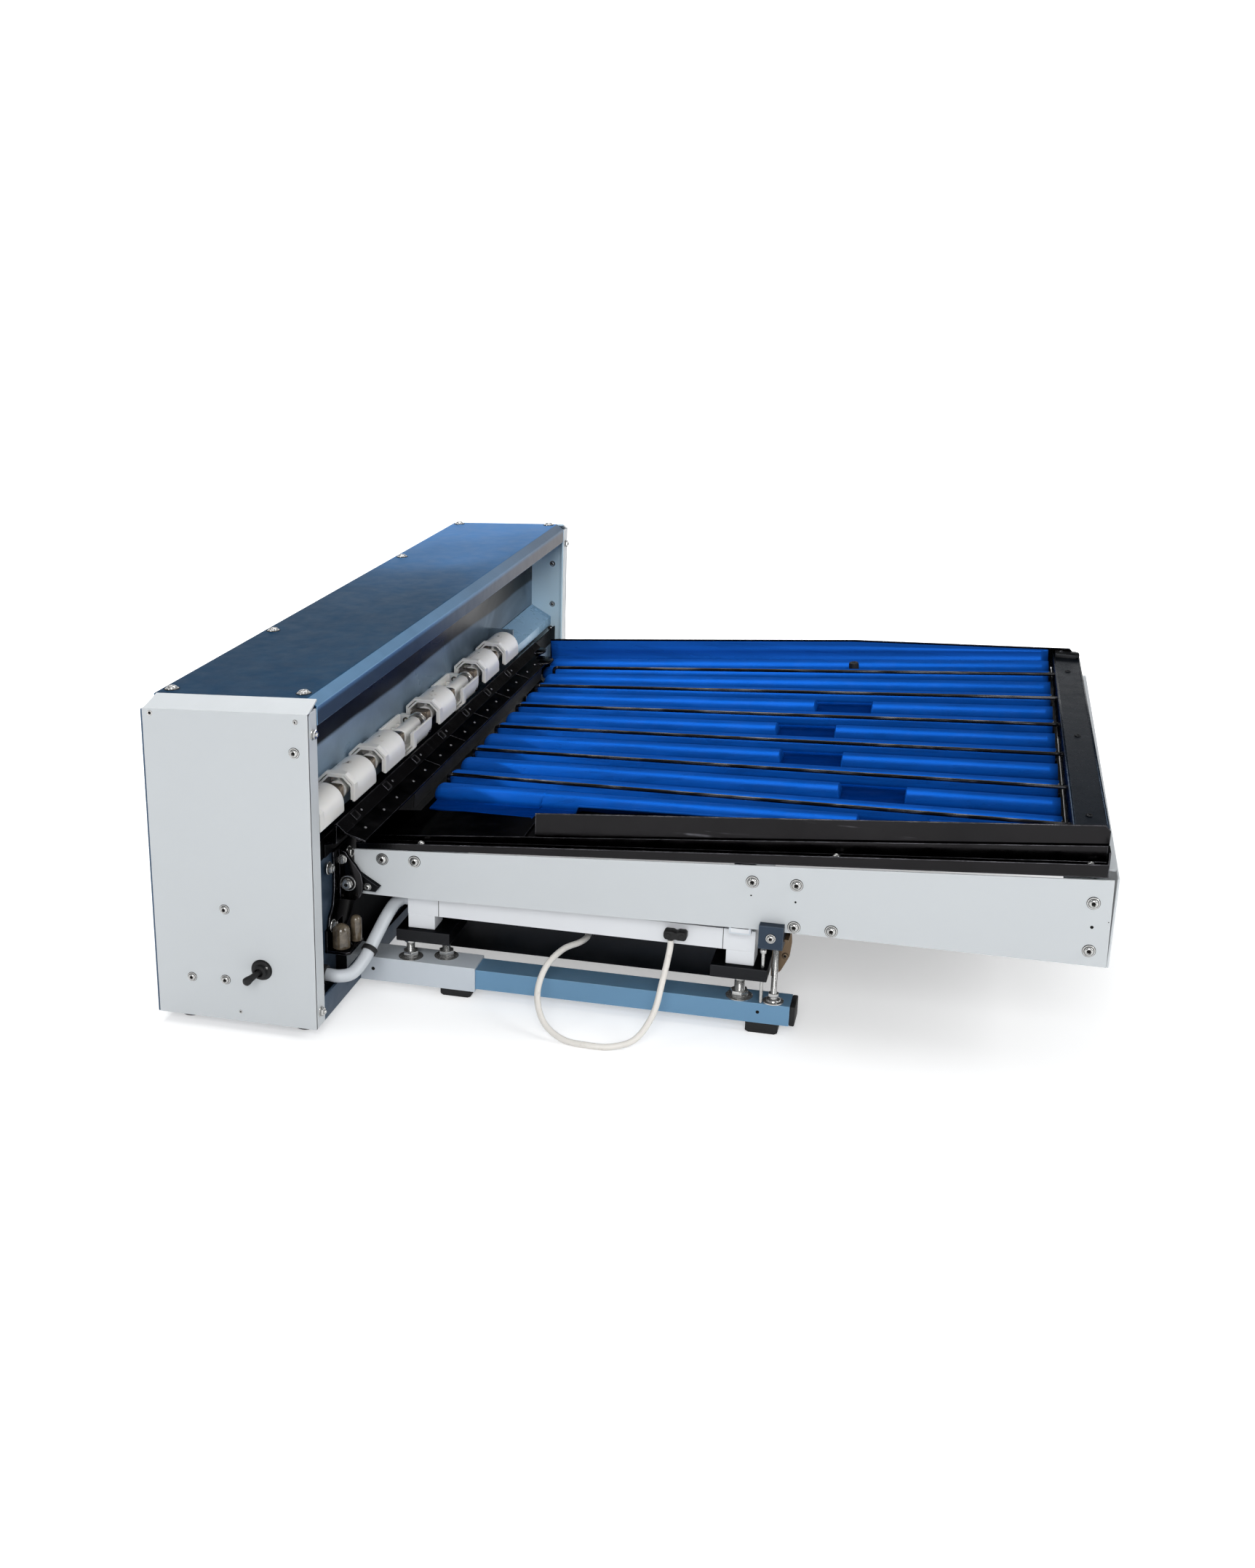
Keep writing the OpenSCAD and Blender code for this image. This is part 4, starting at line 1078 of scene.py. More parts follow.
def board_green():
    """Lacquered circuit board with faint tracks."""
    material, w, shader = start("board_green")
    tracks = w.node("TexVoronoi", distance="CHEBYCHEV")
    w.put(tracks.inputs["Vector"], w.place((1.0, 1.0, 0.0)))
    w.put(tracks.inputs["Scale"], 170.0)
    line = w.range(tracks.outputs["Distance"], 0.10, 0.16)
    base = w.mix(line, linear((0.16, 0.44, 0.26)), linear((0.05, 0.26, 0.14)))
    w.put(shader["Base Color"], base)
    w.put(shader["Roughness"], w.range(line, 0.0, 1.0, 0.30, 0.22, False))
    w.put(shader["Normal"], w.bump(line, 0.1, 0.0003))
    return material


def studio_white():
    """White floor and backdrop. It keeps the shadow under the object and is plain white far off."""
    pale = bpy.data.materials.new(FINISH + "studio_white")
    pale.use_nodes = True
    pale.node_tree.nodes.clear()
    w = Wiring(pale.node_tree)
    path = w.node("LightPath")
    matt = w.node("BsdfDiffuse")
    matt.inputs["Color"].default_value = (0.86, 0.86, 0.86, 1.0)
    glow = w.node("Emission")
    glow.inputs["Color"].default_value = (1.0, 1.0, 1.0, 1.0)
    seen = w.math("MAXIMUM", path.outputs["Is Camera Ray"],
                  w.math("MAXIMUM", path.outputs["Is Glossy Ray"],
                         path.outputs["Is Transmission Ray"]))
    reach = w.node("VectorMath", operation="LENGTH")
    w.put(reach.inputs[0], w.node("TexCoord").outputs["Object"])
    rise = w.range(reach.outputs["Value"], 0.45, 1.25, 0.42, 1.0)
    w.put(glow.inputs["Strength"], w.math("MULTIPLY", seen, rise))
    both = w.node("AddShader")
    w.put(both.inputs[0], matt.outputs[0])
    w.put(both.inputs[1], glow.outputs[0])
    out = w.node("OutputMaterial")
    w.put(out.inputs["Surface"], both.outputs[0])
    return pale


def finish(maker):
    """A finish by its maker, made when it is first wanted."""
    return bpy.data.materials.get(FINISH + maker.__name__) or maker()


def screw_finishes():
    """The steel of screws, and the shadow in their sockets and gaps."""
    return [finish(bright_steel), finish(socket_shadow)]


# Operators, one for each group of pieces

class GRADER_OT_camera(bpy.types.Operator):
    """Places the camera where the photograph was taken from"""
    bl_idname = "grader.camera"
    bl_label = "Camera"

    def execute(self, context):
        given = context.scene.grader_stage
        heading = -0.19601574
        height = 0.32731975
        roll = 0.03163729
        ahead = Vector((math.sin(heading) * math.cos(height),
                        math.cos(heading) * math.cos(height), -math.sin(height)))
        level = ahead.cross(Z_AXIS).normalized()
        upright = level.cross(ahead)
        right = math.cos(roll) * level + math.sin(roll) * upright
        up = math.cos(roll) * upright - math.sin(roll) * level
        data = bpy.data.cameras.new("grader_camera")
        data.sensor_fit = "AUTO"
        data.sensor_width = 36.0
        data.lens = given.lens
        data.clip_start = 0.05
        data.clip_end = 40.0
        camera = bpy.data.objects.new("grader_camera", data)
        turn = Matrix((right, up, -ahead)).transposed().to_4x4()
        eye = TO_FRAME @ Vector((534.0345, -1305.2402, 720.971))
        camera.matrix_world = Matrix.Translation(eye) @ turn
        context.scene.collection.objects.link(camera)
        context.scene.camera = camera
        return {"FINISHED"}


class GRADER_OT_signal_cable(bpy.types.Operator):
    """White signal cable from the rail's gland down to the floor and back up"""
    bl_idname = "grader.signal_cable"
    bl_label = "Signal cable"

    def execute(self, context):
        route = [(297, 112, 85.7), (297, 112, 80), (296, 107, 69), (294, 94, 52), (290, 76, 28),
                 (278, 58, 10), (258, 50, 3.6), (236, 48, 3.2), (212, 52, 4), (192, 62, 14),
                 (182, 78, 32), (184, 98, 50), (194, 122, 59), (206, 140, 60), (210, 152, 60),
                 (210, 157, 60), (210, 162.7, 60)]
        size = context.scene.grader_undercarriage.cable_size
        cable, line = round_line("signal_cable_jacket", route, size * 500.0, 8, 6,
                                 "machine_frame", finish(cable_jacket), "cable_white",
                                 ["signal_cable"])
        length = sum((b - a).length for a, b in zip(line, line[1:]))
        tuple(line[0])
        return {"FINISHED"}


class GRADER_OT_housing(bpy.types.Operator):
    """Folded sheets of the housing, with their small holes"""
    bl_idname = "grader.housing"
    bl_label = "Housing"

    def execute(self, context):
        fold = context.scene.grader_sheet.edge
        lid = [(0.4, 302.6), (22, 310.9), (22, 309.0), (2.0, 301.0)]
        lid_fall = 0.049
        for name, flip, coat_maker in (("near_end_plate", False, light_coat),
                                       ("far_end_plate", True, far_plate_coat)):
            bm = bmesh.new()
            slab(bm, [(-150, 10), (0, 10), (0, 303), (-150, 296)], 0.0, 2.0)
            box(bm, (-2, 0.3, 10.2), (0, 20, 302.8), 0.0)
            folded = bmesh.new()
            ends = [[folded.verts.new((x, y, z + x * lid_fall)) for y, z in lid]
                    for x in (0.0, -146.5)]
            for v in ends[1][:1] + ends[1][3:]:
                v.co.x = -149.8
            folded.faces.new(ends[0])
            folded.faces.new(ends[1][::-1])
            bmesh.ops.bridge_loops(folded, edges=folded.edges[:])
            bmesh.ops.recalc_face_normals(folded, faces=folded.faces)
            join(bm, folded)
            if flip:
                to_far_side(bm, HOUSING_Y)
            y = HOUSING_Y if flip else 0.0
            out = outward(flip)
            for x, z, r in ((-143, 292, 1.7), (-72, 19, 1.0)):
                turned(bm, [(0, 0), (r + 0.9, 0), (r + 0.6, 0.3), (r, 0.3), (r * 0.9, 0.1),
                            (0, 0.1)], (x, y, z), out, 18, index=2)
                # The hole in each rivet is a disc of painted shade.
                disc(bm, (x, y, z), out, r * 0.8, 0.16, 12, 1)
            keep(bm, name + "_sheet", "machine_frame",
                 [finish(coat_maker), finish(socket_shadow), finish(bright_steel)],
                 "sheet_light", [name], 30.0, fold)
        slate = finish(slate_coat)
        steel = finish(guide_steel)
        for node, skin, slot, edge in (
                ("top_cover", finish(cover_blue), "sheet_blue", 0.0007),
                ("base_pan", slate, "sheet_dark", 0.0006),
                # The lower front panel is black satin: painted shade for the deep shadow under the
                # table. The slate cheeks at its ends show the panel's own coat.
                ("lower_front_panel", finish(black_satin), "sheet_dark", 0.0006),
                ("shaft_bulkhead", steel, "guide_steel", 0.0005),
                ("inner_guide_wall", steel, "guide_steel", 0.0005),
                ("infeed_chute", finish(chute_coat), "guide_steel", 0.0006)):
            dress(node, "machine_frame", skin, slot, edge)
        for name, y in (("front_cheek_near", 2.3), ("front_cheek_far", HOUSING_Y - 84.0)):
            bm = bmesh.new()
            box(bm, (-14.0, y, 12.2), (-13.5, y + 81.7, 149.8), 0.2)
            keep(bm, name, "machine_frame", slate, "sheet_dark")
        return {"FINISHED"}


class GRADER_OT_back(bpy.types.Operator):
    """Back panel with its vents and flush screws"""
    bl_idname = "grader.back"
    bl_label = "Back panel"

    def execute(self, context):
        bm = bmesh.new()
        box(bm, (-151.8, 0.2, 10), (-150.1, HOUSING_Y - 0.2, 295), 0.5)
        for y in (36, 250, 459, 668, 882):
            for z in (24, 281):
                turned(bm, [(0, 0), (4.0, 0), (4.2, 0.1), (4.2, 0.14), (1.9, 0.14),
                            (1.8, 0.08), (0, 0.08)], (-151.8, y, z), -X_AXIS, 24, index=1)
        # The vents are slats of painted shade in the socket shadow finish.
        for y in (200, 640):
            for k in range(9):
                box(bm, (-151.95, y + 9 * k - 2, 56), (-151.4, y + 9 * k + 2, 96), 0.2,
                    index=2)
        keep(bm, "back_panel_sheet", "machine_frame",
             [finish(slate_coat), finish(bright_steel), finish(socket_shadow)], "sheet_dark",
             ["back_panel"])
        return {"FINISHED"}


class GRADER_OT_housing_screws(bpy.types.Operator):
    """Socket screws and hexagon screws of the housing"""
    bl_idname = "grader.housing_screws"
    bl_label = "Housing screws"

    def execute(self, context):
        bm = bmesh.new()
        for x, z, r in ((-11, 295.5, 2.2), (-13, 268, 4.6), (-83, 117, 4.4), (-117, 48, 4.2),
                        (-85, 49, 4.4)):
            button(bm, (x, 0, z), -Y_AXIS, r, 0.54 * r)
            button(bm, (x, HOUSING_Y, z), Y_AXIS, r, 0.54 * r)
        for x, z in ((-12, 288), (-19, 253), (-18.5, 198), (-20, 164)):
            button(bm, (x, HOUSING_Y - 2.0, z), -Y_AXIS, 3.6, 2.0)
            button(bm, (x, 2.0, z), Y_AXIS, 3.6, 2.0)
        up = Vector((-math.sin(FALL), 0.0, math.cos(FALL)))
        spots = [(-140, y) for y in (38, 262, 654, 888)] + [(-18, 38), (-18, 888)]
        for x, y in spots:
            base = Vector((x, y, top_at(x)))
            # A thin disc of painted shadow lies under each washer.
            disc(bm, base, up, 6.9, 0.2, 28, 1)
            turned(bm, [(0, 0.2), (5.9, 0.2), (6.0, 0.5), (5.6, 0.9), (0, 0.9)], base, up, 28)
            turned(bm, [(0, 0.9), (4.5, 0.9), (4.5, 1.6), (4.1, 2.3), (3.2, 2.7), (2.1, 2.8),
                        (1.9, 2.2), (0, 2.2)], base, up, 24)
            disc(bm, base + up * 2.2, up, 1.7, 0.1, 12, 1)
        for y in (10, HOUSING_Y - 10):
            for z in (24, 283):
                turned(bm, [(0, 0), (4.9, 0), (5.0, 0.5), (4.6, 0.9), (0, 0.9)], (0, y, z),
                       X_AXIS, 22)
                hexagon(bm, (0.9, y, z), X_AXIS, 4.2, 2.6, 0.5, 0.3)
                turned(bm, [(0, 0), (2.0, 0), (2.0, 1.2), (1.5, 1.7), (0, 1.7)], (3.4, y, z),
                       X_AXIS, 14)
        keep(bm, "housing_fixings", "machine_frame", screw_finishes(), "bright_steel",
             ["housing_screws"])
        return {"FINISHED"}


class GRADER_OT_feet(bpy.types.Operator):
    """Rubber feet under the housing"""
    bl_idname = "grader.feet"
    bl_label = "Housing feet"

    def execute(self, context):
        bm = bmesh.new()
        for x in (-130, -20):
            for y in (25, HOUSING_Y - 25):
                turned(bm, [(0, 1.2), (4.5, 1.2), (5.2, 0.0), (8.6, 0.0), (9.6, 0.5),
                            (10.8, 8.6), (11.0, 9.6), (10.6, 10.0), (0, 10.0)], (x, y, 0),
                       Z_AXIS, 32)
        keep(bm, "housing_feet", "machine_frame", finish(black_rubber), "rubber_black",
             ["rubber_feet"])
        return {"FINISHED"}


class GRADER_OT_electrics(bpy.types.Operator):
    """Power supply and control board inside the housing"""
    bl_idname = "grader.electrics"
    bl_label = "Electrics"

    def execute(self, context):
        bm = bmesh.new()
        box(bm, (-136, 560, 12), (-38, 760, 54), 1.2)
        for k in range(14):
            y = 580 + 12 * k
            for x in (-118, -96, -74, -56):
                turned(bm, [(0, 0), (3.6, 0), (3.6, 0.25), (3.0, 0.25), (2.8, 0.05), (0, 0.05)],
                       (x, y, 53.85), Z_AXIS, 12, index=1)
        keep(bm, "power_supply_case", "machine_frame", screw_finishes(), "bright_steel",
             ["power_supply"])
        bm = bmesh.new()
        box(bm, (-130, 180, 26), (-40, 400, 28), 0.3)
        for x in (-124, -46):
            for y in (186, 394):
                disc(bm, (x, y, 12), Z_AXIS, 3, 14, 16, 1)
        box(bm, (-110, 220, 28), (-80, 260, 46), 0.8, index=1)
        box(bm, (-80, 300, 28), (-56, 360, 40), 0.6, index=2)
        for k in range(6):
            turned(bm, [(0, 28), (3.6, 28), (3.6, 38), (3.2, 38.6), (0, 38.6)],
                   (-118 + 12 * k, 200, 0), Z_AXIS, 16, index=2)
        keep(bm, "control_board_parts", "machine_frame",
             [finish(board_green), finish(bright_steel), finish(black_satin)], "board_green",
             ["control_board"])
        return {"FINISHED"}


class GRADER_OT_shaft(bpy.types.Operator):
    """Ground shaft of the cradles with its collars"""
    bl_idname = "grader.shaft"
    bl_label = "Carrier shaft"

    def execute(self, context):
        bm = bmesh.new()
        turned(bm, [(0, 2), (4.7, 2), (5, 2.4), (5, 716.5), (4.6, 717), (0, 717)],
               (SHAFT_X, 0, SHAFT_Z), Y_AXIS, 32)
        for i in range(CRADLES):
            y = rim_y(i) - 24
            turned(bm, [(5, 0), (8.4, 0), (9, 0.6), (9, 3.2), (8.2, 3.5), (8.2, 4.5), (9, 4.8),
                        (9, 7.4), (8.4, 8), (5, 8)], (SHAFT_X, y, SHAFT_Z), Y_AXIS, 32, True)
            disc(bm, (SHAFT_X + 5.6, y + 1.9, SHAFT_Z + 6.6), (0.65, 0, 0.76), 1.6, 0.5, 12)
        keep(bm, "carrier_shaft_ground", "machine_frame", finish(shaft_steel), "bright_steel",
             ["carrier_shaft"])
        return {"FINISHED"}


class GRADER_OT_drives(bpy.types.Operator):
    """Plated drive blocks beside the cradles, with ribs and a white bush"""
    bl_idname = "grader.drives"
    bl_label = "Cradle drives"

    def execute(self, context):
        bm = bmesh.new()
        for i in range(CRADLES):
            y = rim_y(i)
            low = y - 15
            slab(bm, [(-33.4, 181), (-16.6, 181), (-16, 182), (-16, 199), (-18, 201),
                      (-32, 201), (-34, 199), (-34, 182)], low, low + 13, "Y", 0.35)
            for k in range(5):
                box(bm, (-33.2, low + 1.6 + 2.3 * k, 180.4),
                    (-15.5, low + 2.7 + 2.3 * k, 200.4), 0.3, 1)
            turned(bm, [(5.05, 0), (7.6, 0), (8.0, 0.4), (8.0, 1.4), (5.05, 1.6)],
                   (SHAFT_X, y - 2, SHAFT_Z), Y_AXIS, 28, True, index=1)
            box(bm, (-47, y - 12, 183), (-34, y - 5, 195), 0.8, index=1)
            button(bm, (-40, y - 12, 189), -Y_AXIS, 3.4, 1.4, False)
        keep(bm, "cradle_drives", "machine_frame", [finish(drive_bronze), finish(shell_white)],
             "dark_metal", ["actuator_blocks"])
        return {"FINISHED"}


def ray_round(turn, half, crown, leg):
    """Where a ray from the shaft meets the round section of a cradle."""
    a = math.sin(turn)
    b = math.cos(turn)
    base = crown - half
    side = half / abs(a) if abs(a) > 1e-6 else 1e9
    if side * b < base and abs(a) > 1e-6:
        return (math.copysign(half, a), max(side * b, -leg))
    c = base * b
    reach = c + math.sqrt(max(c * c + half * half - base * base, 0.0))
    return (reach * a, reach * b)


def ray_rim(turn, half, crown, leg, cut=9.0):
    """Where the same ray meets the eight-sided rim."""
    a = abs(math.sin(turn))
    b = math.cos(turn)
    reach = half / a if a > 1e-6 else 1e9
    if b > 1e-6:
        reach = min(reach, crown / b, (half + crown - cut) / (a + b))
    return (math.copysign(reach * a, turn) if a > 1e-6 else 0.0, max(reach * b, -leg))


# Turns of the rays through half a section, in degrees. Three meet the rim's corners and end
HALF_TURNS = (5.5, 11, 17, 23, 29.05, 35, 41, 47, 53, 59, 64.65, 72, 80, 88, 96, 104, 112.83)


def shell_sheet(half, crown, leg, rows):
    """The outer skin of a cradle: eight-sided near its rim, rounded beyond it."""
    square_to = 8.0
    full_to = 56.0
    turns = [-a for a in reversed(HALF_TURNS)] + [0] + list(HALF_TURNS)

    def spot(turn, y):
        square = ray_rim(turn, half, crown, leg)
        smooth = ray_round(turn, half, crown, leg)
        t = step(y, square_to, square_to + 2.6)
        pull = 0.7 * (max(y - full_to, 0.0) / 4.0) ** 2
        x = square[0] * (1.0 - t) + smooth[0] * t
        z = square[1] * (1.0 - t) + smooth[1] * t
        share = 1.0 - pull / math.hypot(x, z)
        return (x * share, y, z * share)

    return sheet_of([math.radians(a) for a in turns], rows, spot)


def numeral(bm, text, size, place):
    """A plain number as a thin printed shape, lying flat and read from the near side."""
    data = bpy.data.curves.new("numeral", "FONT")
    data.body = text
    data.size = size
    data.extrude = 0.08
    data.align_x = "CENTER"
    data.align_y = "CENTER"
    join_curve(bm, data, place)


class GRADER_OT_cradles(bpy.types.Operator):
    """Tipping half-shells with a thick eight-sided rim, a hub, a web and a number"""
    bl_idname = "grader.cradles"
    bl_label = "Cradles"

    def execute(self, context):
        wall = context.scene.grader_carrier.wall * 1000.0
        half = 19.0
        crown = 18.0
        leg = 8.0
        rows = [0.0, 0.8, 2.0, 5.0, 7.5, 8.8, 9.6, 11.0, 14.0, 20.0, 30.0, 40.0, 50.0, 56.0,
                58.4, 60.0]
        skin = finish(shell_white)
        for i in range(CRADLES):
            body = "cradle_%d" % (i + 1)
            flip = Matrix.Rotation(math.pi if i in LOADED else 0.0, 4, "Y")
            place = Matrix.Translation((SHAFT_X, rim_y(i), SHAFT_Z)) @ flip
            bm = bmesh.new()
            join(bm, shell_sheet(half, crown, leg, rows), place)
            keep(bm, body + "_shell", body, skin, "shell_white", [body], 50.0, 0.0005,
                 wall * 0.001)
            bm = bmesh.new()
            tight = wall - 0.1
            join(bm, shell_sheet(half - tight, crown - tight, leg, [0.35, 1.2, 4.0, 6.4, 7.2]),
                 place)
            keep(bm, body + "_rim", body, skin, "shell_white", (), 50.0, 0.0005, 0.0021)
            bm = bmesh.new()
            hub = bmesh.new()
            turned(hub, [(5.05, 0.3), (8.2, 0.3), (8.8, 0.9), (8.8, 3.2), (8, 4), (8, 50.8),
                         (7.4, 51.6), (5.05, 51.6)], (0, 4, 0), Y_AXIS, 32, True)
            box(hub, (-1.5, 9, 6), (1.5, 53, 15.8), 0.5)
            for x, y in ((-16.2, 30), (7.6, 30), (-16.2, 46), (7.6, 46)):
                box(hub, (x, y, -0.8), (x + 8.6, y + 1.6, 4), 0.5)
            disc(hub, (0, 8, 7.8), Z_AXIS, 1.5, 1.4, 12)
            join(bm, hub, place)
            keep(bm, body + "_hub", body, skin, "shell_white")
            bm = bmesh.new()
            mark = bmesh.new()
            turned(mark, [(0, 0), (2.2, 0), (2.2, 0.8), (1.7, 1.6), (0.9, 1.9), (0, 1.9)],
                   (-17.4, 53, 6.4), (-0.93, 0, 0.35), 18)
            numeral(mark, str(i + 1), 6.0, Matrix.Translation((0.0, 34.0, crown - 0.04)))
            join(bm, mark, place)
            keep(bm, body + "_marks", body, finish(black_satin), "shell_white")
        return {"FINISHED"}


class GRADER_OT_slide(bpy.types.Operator):
    """Gloss black drop slide with its seams, tabs, skirt and small screws"""
    bl_idname = "grader.slide"
    bl_label = "Drop slide"

    def execute(self, context):
        low_fall = math.atan2(5, 18)
        high_fall = math.atan2(8, 9)

        def seams(bm):
            for i in range(1, WIRES):
                y = wire_y(i, LANE_X) + 4
                box(bm, (8.4, y - 0.5, 173.6), (25.4, y + 0.5, 174.5), 0.2, 1,
                    Matrix.Rotation(low_fall, 4, "Y"))
            for i in range(CRADLES - 1):
                y = rim_y(i) + 62
                box(bm, (-0.4, y - 6, 179.9), (7.6, y + 6, 180.9), 0.35, 2,
                    Matrix.Rotation(high_fall, 4, "Y"))
            slab(bm, [(6, 698), (26, 698), (31, 702), (33, 709), (33, 722), (30, 730),
                      (24, 734), (6, 736)], 171.2, 173.4, "Z", 0.6)
            slab(bm, [(-2, 730), (11, 730), (16, 735), (17, 744), (15, 755), (9, 759.5),
                      (-2, 759.5)], 175.8, 178.0, "Z", 0.6)
            slab(bm, [(6, 734), (26, 730), (26, 732), (8, 737)], 150.0, 172.0, "Z", 0.3)

        dress("drop_slide", "machine_frame", finish(black_gloss), "black_metal", 0.0004, seams)
        bm = bmesh.new()
        slab(bm, [(22.6, 171.4), (21.6, 171.6), (20.2, 150.6), (21.2, 150.0)], 212.0, 705.0,
             "Y", 0.25)
        keep(bm, "slide_skirt", "machine_frame", finish(black_rubber), "black_metal")
        bm = bmesh.new()
        low = (math.sin(low_fall), 0, math.cos(low_fall))
        high = (math.sin(high_fall), 0, math.cos(high_fall))
        for i in range(CRADLES):
            y = rim_y(i)
            button(bm, (17, y + 50, 173.5), low, 1.5, 1.0, False)
            if i:
                button(bm, (17, y + 14, 173.5), low, 1.5, 1.0, False)
                button(bm, (3.5, y - 9, 180), high, 1.4, 0.9, False)
        keep(bm, "slide_fixings", "machine_frame",
             [finish(dark_steel), finish(socket_shadow)], "bright_steel", ["slide_screws"])
        return {"FINISHED"}


class GRADER_OT_hinges(bpy.types.Operator):
    """Hinge brackets, pivot bolts and bumpers under the slide"""
    bl_idname = "grader.hinges"
    bl_label = "Hinges"

    def execute(self, context):
        bm = bmesh.new()
        for flip in (False, True):
            part = bmesh.new()
            slab(part, [(79, 149.5), (80.2, 131), (79, 112), (76, 99), (67, 91), (63.2, 82),
                        (63.2, 71), (66, 67), (71, 65.6), (104, 65.6), (120, 72), (132, 84),
                        (140, 96), (140, 138), (131, 149.5)], -13.5, -11.0, "X", 0.6)
            slab(part, [(-13, 98), (3, 98), (8, 101.5), (10.6, 108), (11, 116), (9.4, 125),
                        (4, 133), (-1, 139), (-5, 145), (-13, 149)], 93.0, 97.0, "Y", 0.6)
            slab(part, [(-14, 58), (7, 58), (10, 61), (10, 95), (7, 98), (-14, 98)], 58.0, 61.0,
                 "Z", 0.5)
            box(part, (-14, 58, 58), (-11, 98, 80), 0.5)
            slab(part, [(-11, 61), (6, 61), (-11, 76)], 77.0, 79.0, "Y", 0.3)
            # Holes in the ear plate are discs of painted shade.
            for x, z in ((-8.5, 102), (-8.5, 133), (5.5, 104)):
                disc(part, (x, 93, z), -Y_AXIS, 1.3, 0.1, 12, 1)
            if flip:
                to_far_side(part)
            join(bm, part)
        keep(bm, "hinge_bracket_plates", "machine_frame",
             [finish(black_gloss), finish(socket_shadow)], "black_metal", ["hinge_brackets"],
             30.0)
        bm = bmesh.new()
        for flip in (False, True):
            out = outward(flip)

            def pivot(y):
                return on_side(flip, -3, y, 115)

            turned(bm, [(0, 0), (5, 0), (5, 13.4), (4.6, 13.7), (0, 13.7)], pivot(91), -out, 28)
            turned(bm, [(0, 0), (7.4, 0), (7.6, 0.3), (7.6, 1.2), (7.3, 1.5), (6.6, 1.55),
                        (6.3, 1.2), (0, 1.2)], pivot(93), out, 30)
            # A thin ring of painted shadow under the washer; the ring under each hexagon head below
            # does the same.
            turned(bm, [(0, 0), (6.5, 0), (6.4, 0.3), (0, 0.3)], pivot(91.9), out, 26, index=1)
            hexagon(bm, pivot(91.7), out, 5.2, 4.4, 0.6, 0.25)
            turned(bm, [(0, 0), (3.5, 0), (3.5, 0.1), (2.6, 0.1), (2.6, 0.5), (0, 0.5)],
                   pivot(87.3), out, 20)
            disc(bm, pivot(86.85), out, 1.7, 0.1, 16, 1)
            turned(bm, [(0, 0), (4.6, 0), (4.7, 0.4), (4.3, 0.8), (0, 0.8)],
                   on_side(flip, -8.4, 93, 138), out, 22)
            hexagon(bm, on_side(flip, -8.4, 92.2, 138), out, 4.0, 3.0, 0.5, 0.8)
            for y, z in ((66, 139), (72, 80), (116, 136)):
                turned(bm, [(0, 0), (6.2, 0), (6.3, 0.4), (5.9, 0.9), (0, 0.9)],
                       on_side(flip, -11, y, z), X_AXIS, 24)
                turned(bm, [(0, 0), (5.4, 0), (5.3, 0.15), (0, 0.15)],
                       on_side(flip, -10.1, y, z), X_AXIS, 24, index=1)
                hexagon(bm, on_side(flip, -10.0, y, z), X_AXIS, 4.8, 3.0, 0.5, y * 0.2)
                turned(bm, [(0, 0), (2.7, 0), (2.6, 1.2), (2.0, 1.6), (0, 1.6)],
                       on_side(flip, -7.0, y, z), X_AXIS, 18)
        keep(bm, "pivot_bolts", "machine_frame", screw_finishes(), "bright_steel",
             ["pivot_pins"])
        bm = bmesh.new()
        for x, y, r, top in ((-2, 70, 8.2, 84.0), (5.5, 88.5, 5.2, 86.0)):
            dome = [(r * part, top - r * down) for part, down in
                    ((1.0, 1.0), (0.94, 0.62), (0.76, 0.32), (0.45, 0.1), (0.0, 0.0))]
            turned(bm, [(0, 60.6), (r - 0.5, 60.6), (r, 61.2)] + dome, (x, y, 0), Z_AXIS, 32)
        keep(bm, "bumper_caps", "machine_frame", finish(bumper_rubber), "bumper_grey",
             ["bumper_pins"])
        return {"FINISHED"}


class GRADER_OT_conduit(bpy.types.Operator):
    """Grey supply conduit, its gland and the band around it"""
    bl_idname = "grader.conduit"
    bl_label = "Supply conduit"

    def execute(self, context):
        route = [(-14, 48, 42), (-6, 48, 42), (4, 48, 42), (14, 55, 43.5), (20, 72, 52),
                 (24, 91, 66), (28, 109, 79), (32, 123, 87), (38, 130, 90), (42, 130, 90),
                 (45.7, 130, 90)]
        round_line("supply_conduit_tube", route, 6.0, 7, 7, "machine_frame",
                   finish(conduit_skin), "conduit_grey", ["supply_conduit"])
        bm = bmesh.new()
        turned(bm, [(6.3, 0), (9, 0), (9, 4.8), (8.4, 6), (6.3, 6)], route[0], X_AXIS, 30, True)
        turned(bm, [(6.25, 0), (7.2, 0), (7.4, 0.5), (7.4, 4), (7.2, 4.5), (6.25, 4.5)],
               (21.2, 77, 55.5), (0.2, 0.78, 0.58), 28, True)
        keep(bm, "conduit_gland_ring", "machine_frame", finish(black_rubber), "black_plastic",
             ["conduit_gland"])
        return {"FINISHED"}


